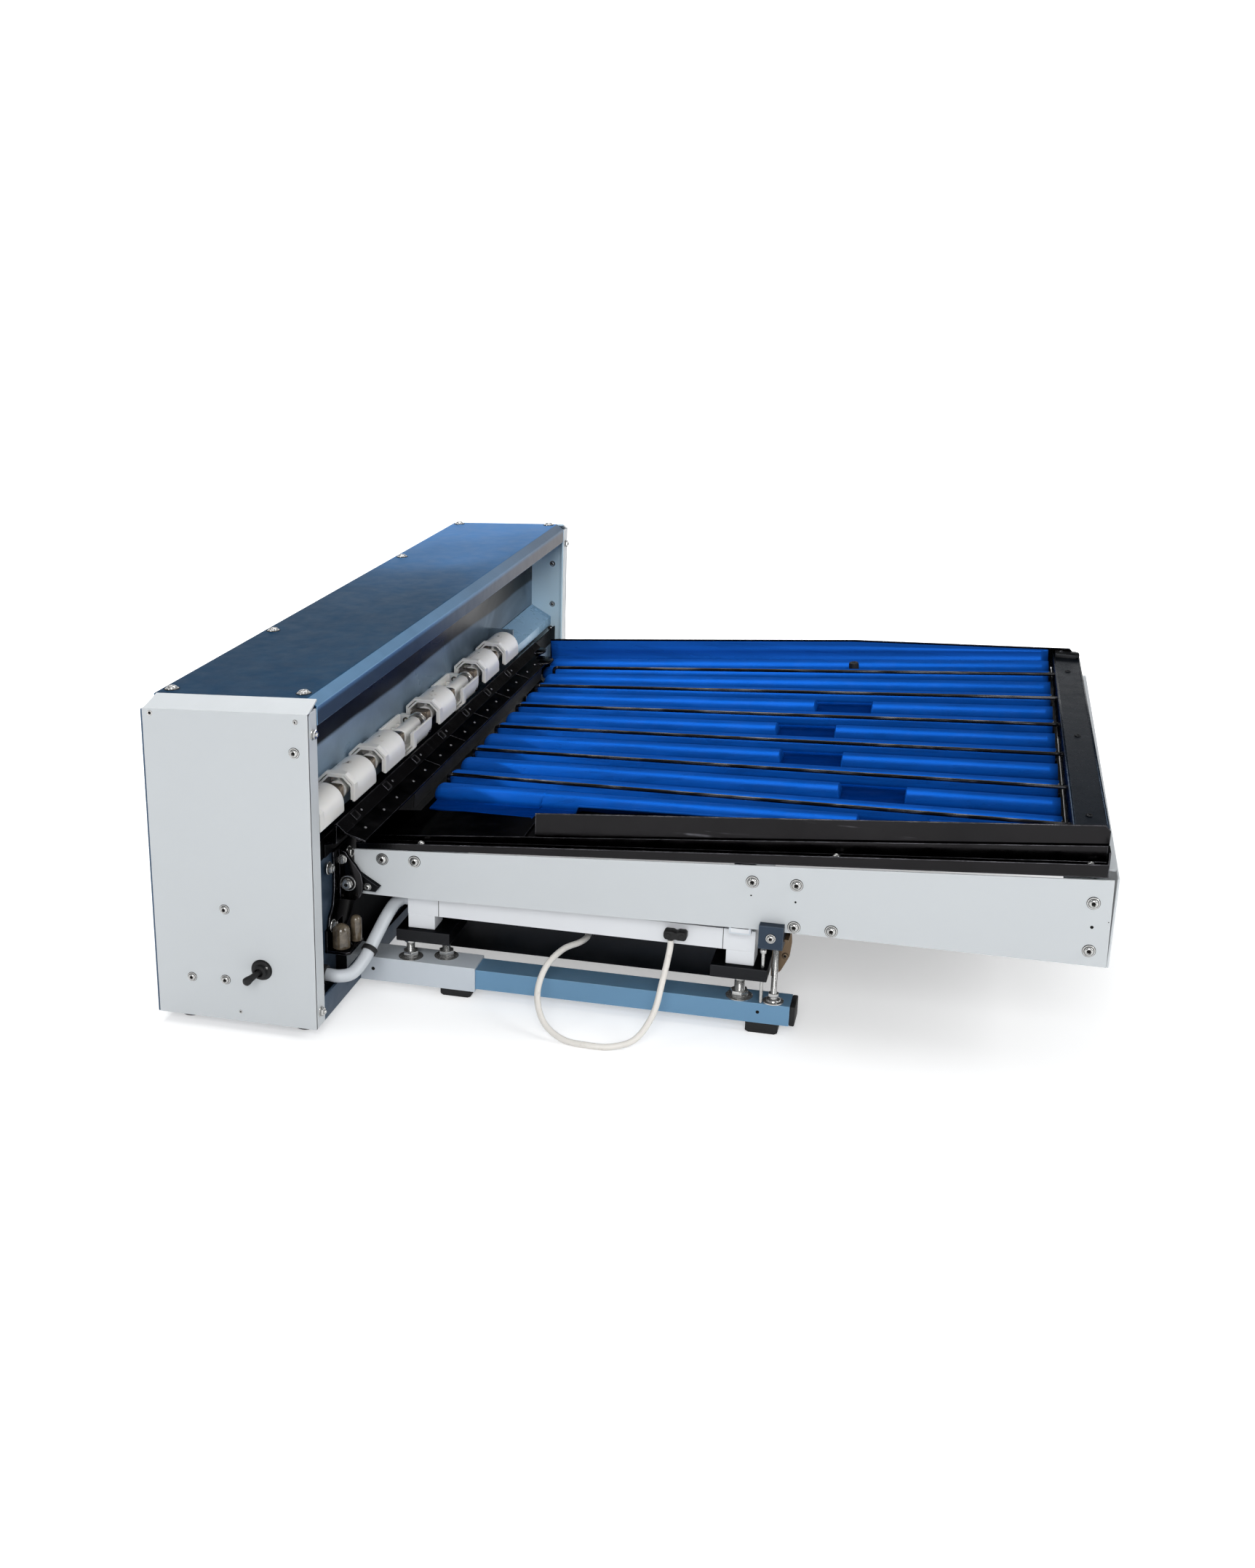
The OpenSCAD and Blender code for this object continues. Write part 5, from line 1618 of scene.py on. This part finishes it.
class GRADER_OT_switch(bpy.types.Operator):
    """Toggle switch with a nut and a round-tipped lever"""
    bl_idname = "grader.switch"
    bl_label = "Switch"

    def execute(self, context):
        hole = (-50, 0, 63)
        bm = bmesh.new()
        turned(bm, [(4, 4), (4, -8), (5.3, -8), (6, -7.2), (6, 2), (4.2, 4)], hole, Y_AXIS, 30,
               True)
        turned(bm, [(6.1, 0), (9.6, 0), (9.8, 0.5), (9.4, 1.0), (6.1, 1.0)], hole, -Y_AXIS, 30,
               True)
        turned(bm, [(6.1, 1.0), (8.9, 1.0), (9.0, 2.2), (8.0, 3.2), (6.1, 3.4)], hole, -Y_AXIS,
               30, True)
        box(bm, (-45.6, -3.6, 65.6), (-43.2, -2.6, 67.8), 0.4, index=1)
        box(bm, (-62, 2, 54), (-38, 26, 72), 0.8)
        keep(bm, "switch_case", "machine_frame", [finish(black_rubber), finish(bright_steel)],
             "black_plastic", ["switch_body"])
        bm = bmesh.new()
        axis = Vector((-0.30, -0.94, -0.16)).normalized()
        turned(bm, [(0, -3.2), (2.2, -2.6), (3.2, -1.2), (3.5, 0), (3.3, 1.4), (2.7, 2.6),
                    (2.4, 3.8), (2.5, 6), (3.2, 14), (3.7, 16.4), (3.9, 18.2), (3.7, 19.8),
                    (2.5, 21.1), (0, 21.6)], (-50, -3, 63), axis, 28)
        keep(bm, "switch_lever_grip", "switch_lever", finish(black_rubber), "bright_steel",
             ["switch_lever"], 60.0)
        return {"FINISHED"}


class GRADER_OT_beams(bpy.types.Operator):
    """Beam sleeves, inner tubes, their caps and their rubber feet"""
    bl_idname = "grader.beams"
    bl_label = "Beams"

    def execute(self, context):
        shadow = finish(socket_shadow)
        dress("beam_sleeves", "machine_frame", [finish(sleeve_coat), shadow], "sheet_light",
              0.0009, drilled([(12, 114, 21, 1.8)]))
        dress("beam_tubes", "machine_frame", [finish(beam_coat), shadow], "beam_blue", 0.0009,
              drilled([(379, 116.2, 22, 1.7)]))
        bm = bmesh.new()
        for y in (116.2, 753.2):
            box(bm, (408, y, 11.2), (413, y + 27.6, 30.8), 1.2)
            box(bm, (402, y + 2.2, 13.4), (408.2, y + 25.4, 28.6), 0.6)
            for x, top in ((92, 9), (383, 11.2)):
                slab(bm, [(x - 12, 0), (x + 12, 0), (x + 15, 1.6), (x + 15, top),
                          (x - 15, top), (x - 15, 1.6)], y + 1.8, y + 25.8, "Y", 0.7)
        keep(bm, "beam_caps_and_feet", "machine_frame", finish(black_rubber), "rubber_black",
             ["beam_rubbers"])
        return {"FINISHED"}


class GRADER_OT_studs(bpy.types.Operator):
    """Threaded studs with nuts and dished washers, and the levelling rods"""
    bl_idname = "grader.studs"
    bl_label = "Studs and rods"

    def execute(self, context):
        bm = bmesh.new()
        for flip in (False, True):
            for x, y, z1, r in ((46, 125, 33, 4), (78, 135, 33, 4), (360, 128, 30.8, 5)):
                spot = on_side(flip, x, y, 0)
                wide = r + 7.5
                turned(bm, [(0, z1), (wide - 0.4, z1), (wide, z1 + 0.3), (wide, z1 + 0.8),
                            (wide - 1.4, z1 + 1.5), (r + 3.2, z1 + 1.9), (r + 2.6, z1 + 2.6),
                            (0, z1 + 2.6)], spot, Z_AXIS, 34)
                hexagon(bm, (spot[0], spot[1], z1 + 2.6), Z_AXIS, r + 3.6, 4.2, 0.5, 0.35)
                turned(bm, [(0, z1 + 6)] + thread(r, z1 + 6, 49.4) + [(0, 49.4)], spot, Z_AXIS,
                       22)
                turned(bm, [(0, 49), (r + 1.6, 49), (r + 2, 49.4), (r + 2, 53.6),
                            (r + 1.6, 54), (0, 54)], spot, Z_AXIS, 28)
            turned(bm, [(0, 31), (1.6, 31), (1.6, 80), (2.8, 80.2), (3.0, 80.8), (3.0, 83.2),
                        (2.4, 84), (0, 84)], on_side(flip, 381, 118.5, 0), Z_AXIS, 20)
        keep(bm, "adjuster_studs", "machine_frame", finish(bright_steel), "bright_steel",
             ["adjuster_bolts"])
        for side, flip in (("near", False), ("far", True)):
            bm = bmesh.new()
            spot = on_side(flip, 392, 123, 0)
            washer = [(0, 31.1), (9.3, 31.1), (9.8, 31.5), (9.6, 32.3), (6.9, 32.9),
                      (6.5, 33.9), (5.9, 34.4), (3.6, 34.7), (3.4, 36.4), (2.6, 36.8)]
            end = [(2.95, 88.4), (2.95, 107.4), (2.4, 108), (0, 108)]
            turned(bm, washer + thread(3.0, 36.8, 88) + end, spot, Z_AXIS, 22)
            hexagon(bm, (spot[0], spot[1], 87), Z_AXIS, 5.5, 4.8, 0.5, 0.5)
            hexagon(bm, (spot[0], spot[1], 36.6), Z_AXIS, 5.2, 3.4, 0.5, 0.1)
            keep(bm, side + "_levelling_screw", side + "_levelling_rod", finish(bright_steel),
                 "bright_steel", [side + "_levelling_rod"])
        return {"FINISHED"}


class GRADER_OT_rails(bpy.types.Operator):
    """Mount blocks, spacers, rails, cross bars and cable glands"""
    bl_idname = "grader.rails"
    bl_label = "Rails"

    def execute(self, context):
        dress("mount_blocks", "machine_frame", finish(black_satin), "black_metal", 0.0008)
        dress("rail_spacers", "machine_frame", finish(rail_cover), "rail_grey", 0.0008)

        def joints(bm):
            for y in (117.85, 753.85):
                for x in (75.5, 343.5):
                    box(bm, (x, y, 80), (x + 0.6, y + 25.3, 100.15), 0.1, 1, index=1)

        dress("sensor_rails", "machine_frame", [finish(rail_cover), finish(socket_shadow)],
              "rail_grey", 0.0008, joints)
        dress("cross_bars", "machine_frame", finish(black_satin), "black_metal", 0.0006)
        bm = bmesh.new()
        slab(bm, [(290.6, 89.4), (292, 87.2), (298, 86.2), (301.5, 87.6), (304, 87), (310, 87),
                  (311.6, 88.6), (311.6, 94), (310, 95.4), (304, 95.4), (302, 94),
                  (299, 95.4), (292, 95.4), (290.6, 94)], 108.2, 118, "Y", 0.9)
        for x in (295, 307.5):
            turned(bm, [(0, 0), (2.4, 0), (2.0, 0.7), (1.1, 0.9), (0, 0.9)], (x, 108.4, 91.3),
                   -Y_AXIS, 18)
        turned(bm, [(0, 0), (6, 0), (6, 2), (5, 5), (0, 5)], (210, 168, 60), -Y_AXIS, 24)
        keep(bm, "cable_gland_clips", "machine_frame", finish(black_rubber), "black_plastic",
             ["cable_glands"])
        return {"FINISHED"}


class GRADER_OT_table(bpy.types.Operator):
    """Sheet metal, fences and trays of the lane table"""
    bl_idname = "grader.table"
    bl_label = "Table"

    def execute(self, context):
        light = [finish(light_coat), finish(socket_shadow)]
        holes = [(368.5, TABLE_NEAR, 140, 0.8), (408, TABLE_NEAR, 138, 1.0),
                 (661, TABLE_NEAR, 144, 1.5), (674.2, TABLE_NEAR, 150, 0.5)]
        dress("near_side_plate", "lane_table", light, "sheet_light", 0.0007,
              drilled(holes, [False]))
        dress("far_side_plate", "lane_table", light, "sheet_light", 0.0007,
              drilled(holes, [True]))
        black = finish(black_gloss)
        for node, skin, slot, edge in (
                ("end_plate", finish(light_coat), "sheet_light", 0.0007),
                ("table_floor", black, "sheet_light", 0.0004),
                ("cross_members", finish(sleeve_coat), "sheet_light", 0.0006),
                ("inner_fence", black, "black_metal", 0.0004),
                ("front_tray", black, "black_metal", 0.0004),
                ("far_fence", black, "black_metal", 0.0004),
                ("landing_tray", black, "black_metal", 0.0005),
                ("pivot_lugs", finish(black_satin), "black_metal", 0.0007)):
            dress(node, "lane_table", skin, slot, edge)
        bm = bmesh.new()
        for x, top in ((50, 104.0), (350, 106.0)):
            for y in (TABLE_NEAR + 2.1, TABLE_FAR - 2.8):
                box(bm, (x, y, 100.4), (x + 20, y + 0.7, top), 0.1)
        keep(bm, "cross_member_caps", "lane_table", finish(rail_cover), "sheet_light")
        return {"FINISHED"}


class GRADER_OT_kerb(bpy.types.Operator):
    """End kerb with its inner lip and rounded far corner"""
    bl_idname = "grader.kerb"
    bl_label = "End kerb"

    def execute(self, context):
        def lip(bm):
            for x1, x2 in ((637.2, 639.4), (665.8, 667.8)):
                slab(bm, [(129, 225.4), (787.6, 213.4), (787.6, 214.9), (129, 226.9)], x1, x2,
                     "X", 0.3)

        dress("end_kerb", "lane_table", finish(kerb_coat), "black_metal", 0.0008, lip)
        bm = bmesh.new()
        slab(bm, [(639, 770), (664, 770), (667.6, 774), (667.6, 784), (664, 787.8),
                  (639, 787.8)], 206.0, 219.0, "Z", 1.2)
        button(bm, (646, 780, 219), Z_AXIS, 3.4, 1.6)
        for y in (700, 420, 160):
            z = 226.0 - (y - 128.8) * 12.0 / 659.2
            button(bm, (652, y, z), Z_AXIS, 3.0, 1.3, False)
        keep(bm, "kerb_screws", "lane_table", [finish(black_satin), finish(socket_shadow)],
             "black_metal")
        return {"FINISHED"}


class GRADER_OT_table_screws(bpy.types.Operator):
    """Screws of the side plates, the tray, the lugs and the clamps"""
    bl_idname = "grader.table_screws"
    bl_label = "Table screws"

    def execute(self, context):
        bm = bmesh.new()
        for x, z in ((26, 137), (57, 138), (369, 153), (408, 154), (408, 114), (441, 114),
                     (660, 166), (661, 122)):
            button(bm, (x, TABLE_NEAR, z), -Y_AXIS, 5.5, 3.0)
            button(bm, (x, TABLE_FAR, z), Y_AXIS, 5.5, 3.0)
        for x in (60, 440, 655):
            button(bm, (x, 116, 147.3 + x * 50 / 668), Z_AXIS, 3.4, 2.2, False)
        for flip in (False, True):
            for x, y, z, r in ((13.5, 99.2, 110.5, 3.6), (389, 96, 104.5, 4.4)):
                button(bm, on_side(flip, x, y, z), outward(flip), r, 2.4)
        keep(bm, "table_fixings", "lane_table", screw_finishes(), "bright_steel",
             ["table_screws"])
        return {"FINISHED"}


class GRADER_OT_clamps(bpy.types.Operator):
    """Clamps that grip the levelling rods, and the plates beside them, brown with a painted
    reflection
    """
    bl_idname = "grader.clamps"
    bl_label = "Clamps"

    def execute(self, context):
        dress("clamp_blocks", "lane_table", finish(clamp_coat), "dark_metal", 0.0028)
        bm = bmesh.new()
        for flip in (False, True):
            part = bmesh.new()
            slab(part, [(387.5, 100), (404, 100), (405, 88), (403.6, 74), (400, 66), (396, 58),
                        (390, 53), (387.5, 52)], 131.0, 133.0, "Y", 0.7)
            box(part, (398, 107.2, 97.8), (404, 133, 100), 0.5)
            button(part, (399.5, 131, 74), -Y_AXIS, 2.9, 1.6, False)
            if flip:
                to_far_side(part)
            join(bm, part)
        keep(bm, "rod_guard_plates", "lane_table",
             [finish(warm_reflection_brown), finish(socket_shadow)], "dark_metal")
        return {"FINISHED"}


def ridge_profile(away, radius, height):
    """Height of a rounded ridge at a distance from its line, with a soft foot."""
    arc = math.sqrt(max(radius * radius - away * away, 0.0)) - (radius - height)
    return 0.5 * (arc + math.sqrt(arc * arc + 2.2))


# Distances of the rest pockets along the lanes. The first two lanes have none
POCKETS = (None, None, 373.0, 341.0, 357.0, 427.0, 452.0)
POCKET_REACH = 31.0
# The nearest mat is cut back up to CORNER, and its near ridge starts about NEAR_RIDGE
CORNER = 112.0
NEAR_RIDGE = 152.0


def lane_edges(i, x):
    """Both edges of lane i in Y, at a distance x along it."""
    t = x / LANE_LENGTH
    world = LANE_X + LANE_RUN * t
    top = LANE_FAR if i == 0 else wire_y(i - 1, world)
    along_tray = 192.0 * (1.0 - t) + 129.5 * t
    low = wire_y(i, world) if i < WIRES else along_tray
    return low, top


def mat_columns(i, first, last):
    """Places along mat i, close together at its domed end, its pocket and its corner."""
    columns = {first, last}
    for k in range(1, 74):
        columns.add(first + (last - first) * k / 74.0)
    for k in range(12):
        columns.add(first + 0.15 + 10.0 * (k / 11.0) ** 1.8)
    if POCKETS[i]:
        for edge in (POCKETS[i] - POCKET_REACH, POCKETS[i] + POCKET_REACH):
            columns.update(edge + 0.9 * k for k in range(-5, 6))
    if i == WIRES:
        for edge in (CORNER, NEAR_RIDGE):
            columns.update(edge + 1.5 * k for k in range(-4, 5))
    return sorted(columns)


def near_foot(x, foot, top):
    """Near edge of the nearest mat, from its cut corner along the front tray."""
    short = top - 66.0
    foot += (short - foot) * (1.0 - step(x, CORNER - 1.0, CORNER + 1.5))
    if x <= CORNER:
        return foot
    t = (x - CORNER) / (LANE_LENGTH - CORNER)
    return max(foot, 204.0 * (1.0 - t) + 130.0 * t)


class GRADER_OT_mats(bpy.types.Operator):
    """Blue lane mats with domed ridge ends and rest pockets"""
    bl_idname = "grader.mats"
    bl_label = "Lane mats"

    def execute(self, context):
        given = context.scene.grader_lanes
        height = given.ridge * 1000.0
        radius = 22.0
        last = LANE_LENGTH - 0.4
        blue = finish(mat_blue)
        across = [k / given.across for k in range(given.across + 1)]
        for i in range(WIRES + 1):
            first = -17.0 if i == 0 else -5.0
            pocket = POCKETS[i]

            def spot(x, share):
                low, top = lane_edges(i, x)
                quarter = (top - low) / 4.0
                foot = low + 0.4
                if i == WIRES:
                    foot = near_foot(x, foot, top)
                y = foot + (top - 0.4 - foot) * share
                full = math.sqrt(max(1.0 - (1.0 - min((x - first) / 9.0, 1.0)) ** 2, 0.0))
                rise_far = ridge_profile(y - (top - quarter), radius, height)
                if pocket:
                    start_x = pocket - POCKET_REACH
                    end_x = pocket + POCKET_REACH
                    rise_far *= 1.0 - 0.97 * step(x, start_x - 1.5, start_x + 1.5) \
                        * (1.0 - step(x, end_x - 1.5, end_x + 1.5))
                rise_near = ridge_profile(y - (low + quarter), radius, height)
                if i == WIRES:
                    rise_near *= step(x, NEAR_RIDGE - 3.0, NEAR_RIDGE + 4.0)
                rise = max(rise_far, rise_near)
                finger = 1.0 - min(rise / height, 1.0)
                back = 7.0 * finger * (1.0 - step(x, first, first + 20.0))
                return (x + back, y, MAT_TOP + rise * full)

            bm = bmesh.new()
            join(bm, sheet_of(mat_columns(i, first, last), across, spot), LANE)
            keep(bm, "lane_mat_%d" % (i + 1), "lane_table", blue, "mat_blue",
                 ["lane_mats"], 40.0, 0.0, 0.0016)

        # The last row of the upturned edge follows the far fence
        rows = [(-15.0, 0.4), (-12.0, 0.6), (-9.0, 1.4), (-6.4, 3.0), (-4.2, 5.4), (-2.6, 8.6),
                (-1.6, 12.4), (-1.1, 17.0), (-1.0, None)]

        def upturned(x, row):
            out, rise = row
            if rise is None:
                world = LANE_X + x * math.cos(LANE_SLOPE)
                rise = (fence_top(world) - 2.2 - lane_z(world)) / math.cos(LANE_SLOPE) - MAT_TOP
            return (x, LANE_FAR + out, MAT_TOP + rise)

        columns = [-19.0 + (last + 19.0) * k / 60.0 for k in range(61)]
        bm = bmesh.new()
        join(bm, sheet_of(columns, rows, upturned), LANE)
        keep(bm, "lane_mat_upturn", "lane_table", blue, "mat_blue", (), 40.0, 0.0, 0.0009)
        return {"FINISHED"}


class GRADER_OT_wires(bpy.types.Operator):
    """Wire dividers, bent down at the slide and looped at the kerb"""
    bl_idname = "grader.wires"
    bl_label = "Wire dividers"

    def execute(self, context):
        end = LANE_LENGTH + 4.0
        hook = end - 5.0
        run = [(1.9, -15.8), (1.9, -9.0), (2.0, -4.2), (3.4, -1.2), (7.0, 0.0), (14.0, 0.0),
               (100.0, 0.0), (300.0, 0.0), (500.0, 0.0), (end - 6.0, 0.0), (end - 0.4, 0.0)]
        loop = [(3.4, -12.5), (3.4, -6.0), (4.2, -1.4), (6.4, 0.6), (8.6, -1.4), (9.4, -6.0),
                (9.4, -12.5)]
        bm = bmesh.new()
        for i in range(WIRES):
            first = wire_y(i, LANE_X)
            lean = (wire_y(i, LANE_X + LANE_RUN) - first) / LANE_LENGTH
            part = bmesh.new()
            for route, radius, resolution in (
                    ([(x, first + lean * x, z) for x, z in run], 2.0, 2),
                    ([(hook, first + lean * hook + y, z) for y, z in loop], 0.9, 1)):
                join_curve(part, line_data("wire", curve_points(route, 5), radius, resolution))
            join(bm, part, LANE)
        keep(bm, "lane_wires", "lane_table", finish(wire_plate), "wire_dark",
             ["wire_dividers"], 60.0)
        return {"FINISHED"}


class GRADER_OT_peg(bpy.types.Operator):
    """Black stop peg of the first lane"""
    bl_idname = "grader.peg"
    bl_label = "Stop peg"

    def execute(self, context):
        bm = bmesh.new()
        part = bmesh.new()
        turned(part, [(0, -14), (6, -14), (6, -0.6), (5.6, 1.2), (4.6, 2.0), (2.4, 2.0),
                      (2.0, 1.2), (0, 1.2)], (371, 738, 0), Z_AXIS, 30)
        join(bm, part, LANE)
        keep(bm, "stop_peg_cap", "lane_table", finish(black_rubber), "black_plastic",
             ["stop_peg"])
        return {"FINISHED"}


class GRADER_OT_stage(bpy.types.Operator):
    """Pale floor, white surroundings and soft lamps"""
    bl_idname = "grader.stage"
    bl_label = "Stage"

    def execute(self, context):
        given = context.scene.grader_stage
        world = context.scene.world or bpy.data.worlds.new("grader_world")
        context.scene.world = world
        world.use_nodes = True
        tree = world.node_tree
        tree.nodes.clear()
        w = Wiring(tree)
        ambient = w.node("Background")
        path = w.node("LightPath")
        horizon = w.range(w.spot()["Z"], 0.20, 0.29, 1.0, 0.0)
        mirrored = w.math("MAXIMUM", path.outputs["Is Glossy Ray"],
                          path.outputs["Is Transmission Ray"])
        seen = w.math("MAXIMUM", path.outputs["Is Camera Ray"],
                      w.math("MULTIPLY", mirrored, horizon))
        w.put(ambient.inputs["Color"], w.mix(seen, (0.96, 0.98, 1.0, 1.0), (1.0, 1.0, 1.0, 1.0)))
        w.put(ambient.inputs["Strength"], w.range(seen, 0.0, 1.0, given.ambient, 1.0))
        out = w.node("OutputWorld")
        w.put(out.inputs["Surface"], ambient.outputs[0])

        wall_foot = 8.4
        wall_top = 2.1
        ground = bmesh.new()
        turned(ground, [(0, 0), (wall_foot, 0), (wall_foot + 0.5, 0.12),
                        (wall_foot + 0.75, 0.4), (wall_foot + 0.8, wall_top)],
               (0, 0, 0), Z_AXIS, 96)
        for face in ground.faces:
            face.smooth = True
        mesh = bpy.data.meshes.new("studio_sweep")
        ground.to_mesh(mesh)
        ground.free()
        mesh.materials.append(studio_white())
        backdrop = bpy.data.objects.new("studio_sweep", mesh)
        context.scene.collection.objects.link(backdrop)

        middle = TO_FRAME @ Vector((260.0, 400.0, 150.0))
        for name, place, length, width, power in (
                ("key_lamp", (0.70, -4.55, 2.55), 2.4, 2.4, given.key),
                ("fill_lamp", (2.2, -0.5, 1.6), 1.2, 1.2, given.fill),
                ("top_lamp", (-0.35, 0.95, 2.1), 1.1, 1.1, given.top),
                ("strip_lamp", (-1.0, 0.1, 1.5), 1.8, 0.07, given.strip)):
            data = bpy.data.lights.new(name, "AREA")
            data.shape = "RECTANGLE"
            data.size = length
            data.size_y = width
            data.energy = power
            lamp = bpy.data.objects.new(name, data)
            lamp.location = Vector(place)
            lamp.rotation_euler = (middle - Vector(place)).to_track_quat("-Z", "Y").to_euler()
            context.scene.collection.objects.link(lamp)
        context.scene.view_settings.view_transform = "Standard"
        return {"FINISHED"}


STEPS = (
    GRADER_OT_camera, GRADER_OT_signal_cable, GRADER_OT_housing, GRADER_OT_back,
    GRADER_OT_housing_screws, GRADER_OT_feet, GRADER_OT_electrics, GRADER_OT_shaft,
    GRADER_OT_drives, GRADER_OT_cradles, GRADER_OT_slide, GRADER_OT_hinges,
    GRADER_OT_conduit, GRADER_OT_switch, GRADER_OT_beams, GRADER_OT_studs, GRADER_OT_rails,
    GRADER_OT_table, GRADER_OT_kerb, GRADER_OT_table_screws, GRADER_OT_clamps,
    GRADER_OT_mats, GRADER_OT_wires, GRADER_OT_peg, GRADER_OT_stage,
)

SETTINGS = (
    ("grader_sheet", GraderSheetSettings), ("grader_carrier", GraderCarrierSettings),
    ("grader_lanes", GraderLaneSettings), ("grader_undercarriage", GraderUndercarriageSettings),
    ("grader_stage", GraderStageSettings),
)


class GRADER_PT_panel(bpy.types.Panel):
    """Lists the settings and the steps that build the object"""
    bl_idname = "GRADER_PT_panel"
    bl_label = "Egg Grader"
    bl_space_type = "VIEW_3D"
    bl_region_type = "UI"
    bl_category = "Egg Grader"

    def draw(self, context):
        for key, group in SETTINGS:
            column = self.layout.box().column()
            for name in group.__annotations__:
                column.prop(getattr(context.scene, key), name)
        column = self.layout.column()
        for step_class in STEPS:
            column.operator(step_class.bl_idname)


def register():
    for key, group in SETTINGS:
        bpy.utils.register_class(group)
        setattr(bpy.types.Scene, key, PointerProperty(type=group))
    for step_class in STEPS:
        bpy.utils.register_class(step_class)
    bpy.utils.register_class(GRADER_PT_panel)


def unregister():
    bpy.utils.unregister_class(GRADER_PT_panel)
    for step_class in reversed(STEPS):
        bpy.utils.unregister_class(step_class)
    for key, group in reversed(SETTINGS):
        delattr(bpy.types.Scene, key)
        bpy.utils.unregister_class(group)


def main():
    """Registers the add-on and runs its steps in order."""
    register()
    for step_class in STEPS:
        group, name = step_class.bl_idname.split(".")
        getattr(getattr(bpy.ops, group), name)()


if __name__ == "__main__":
    main()
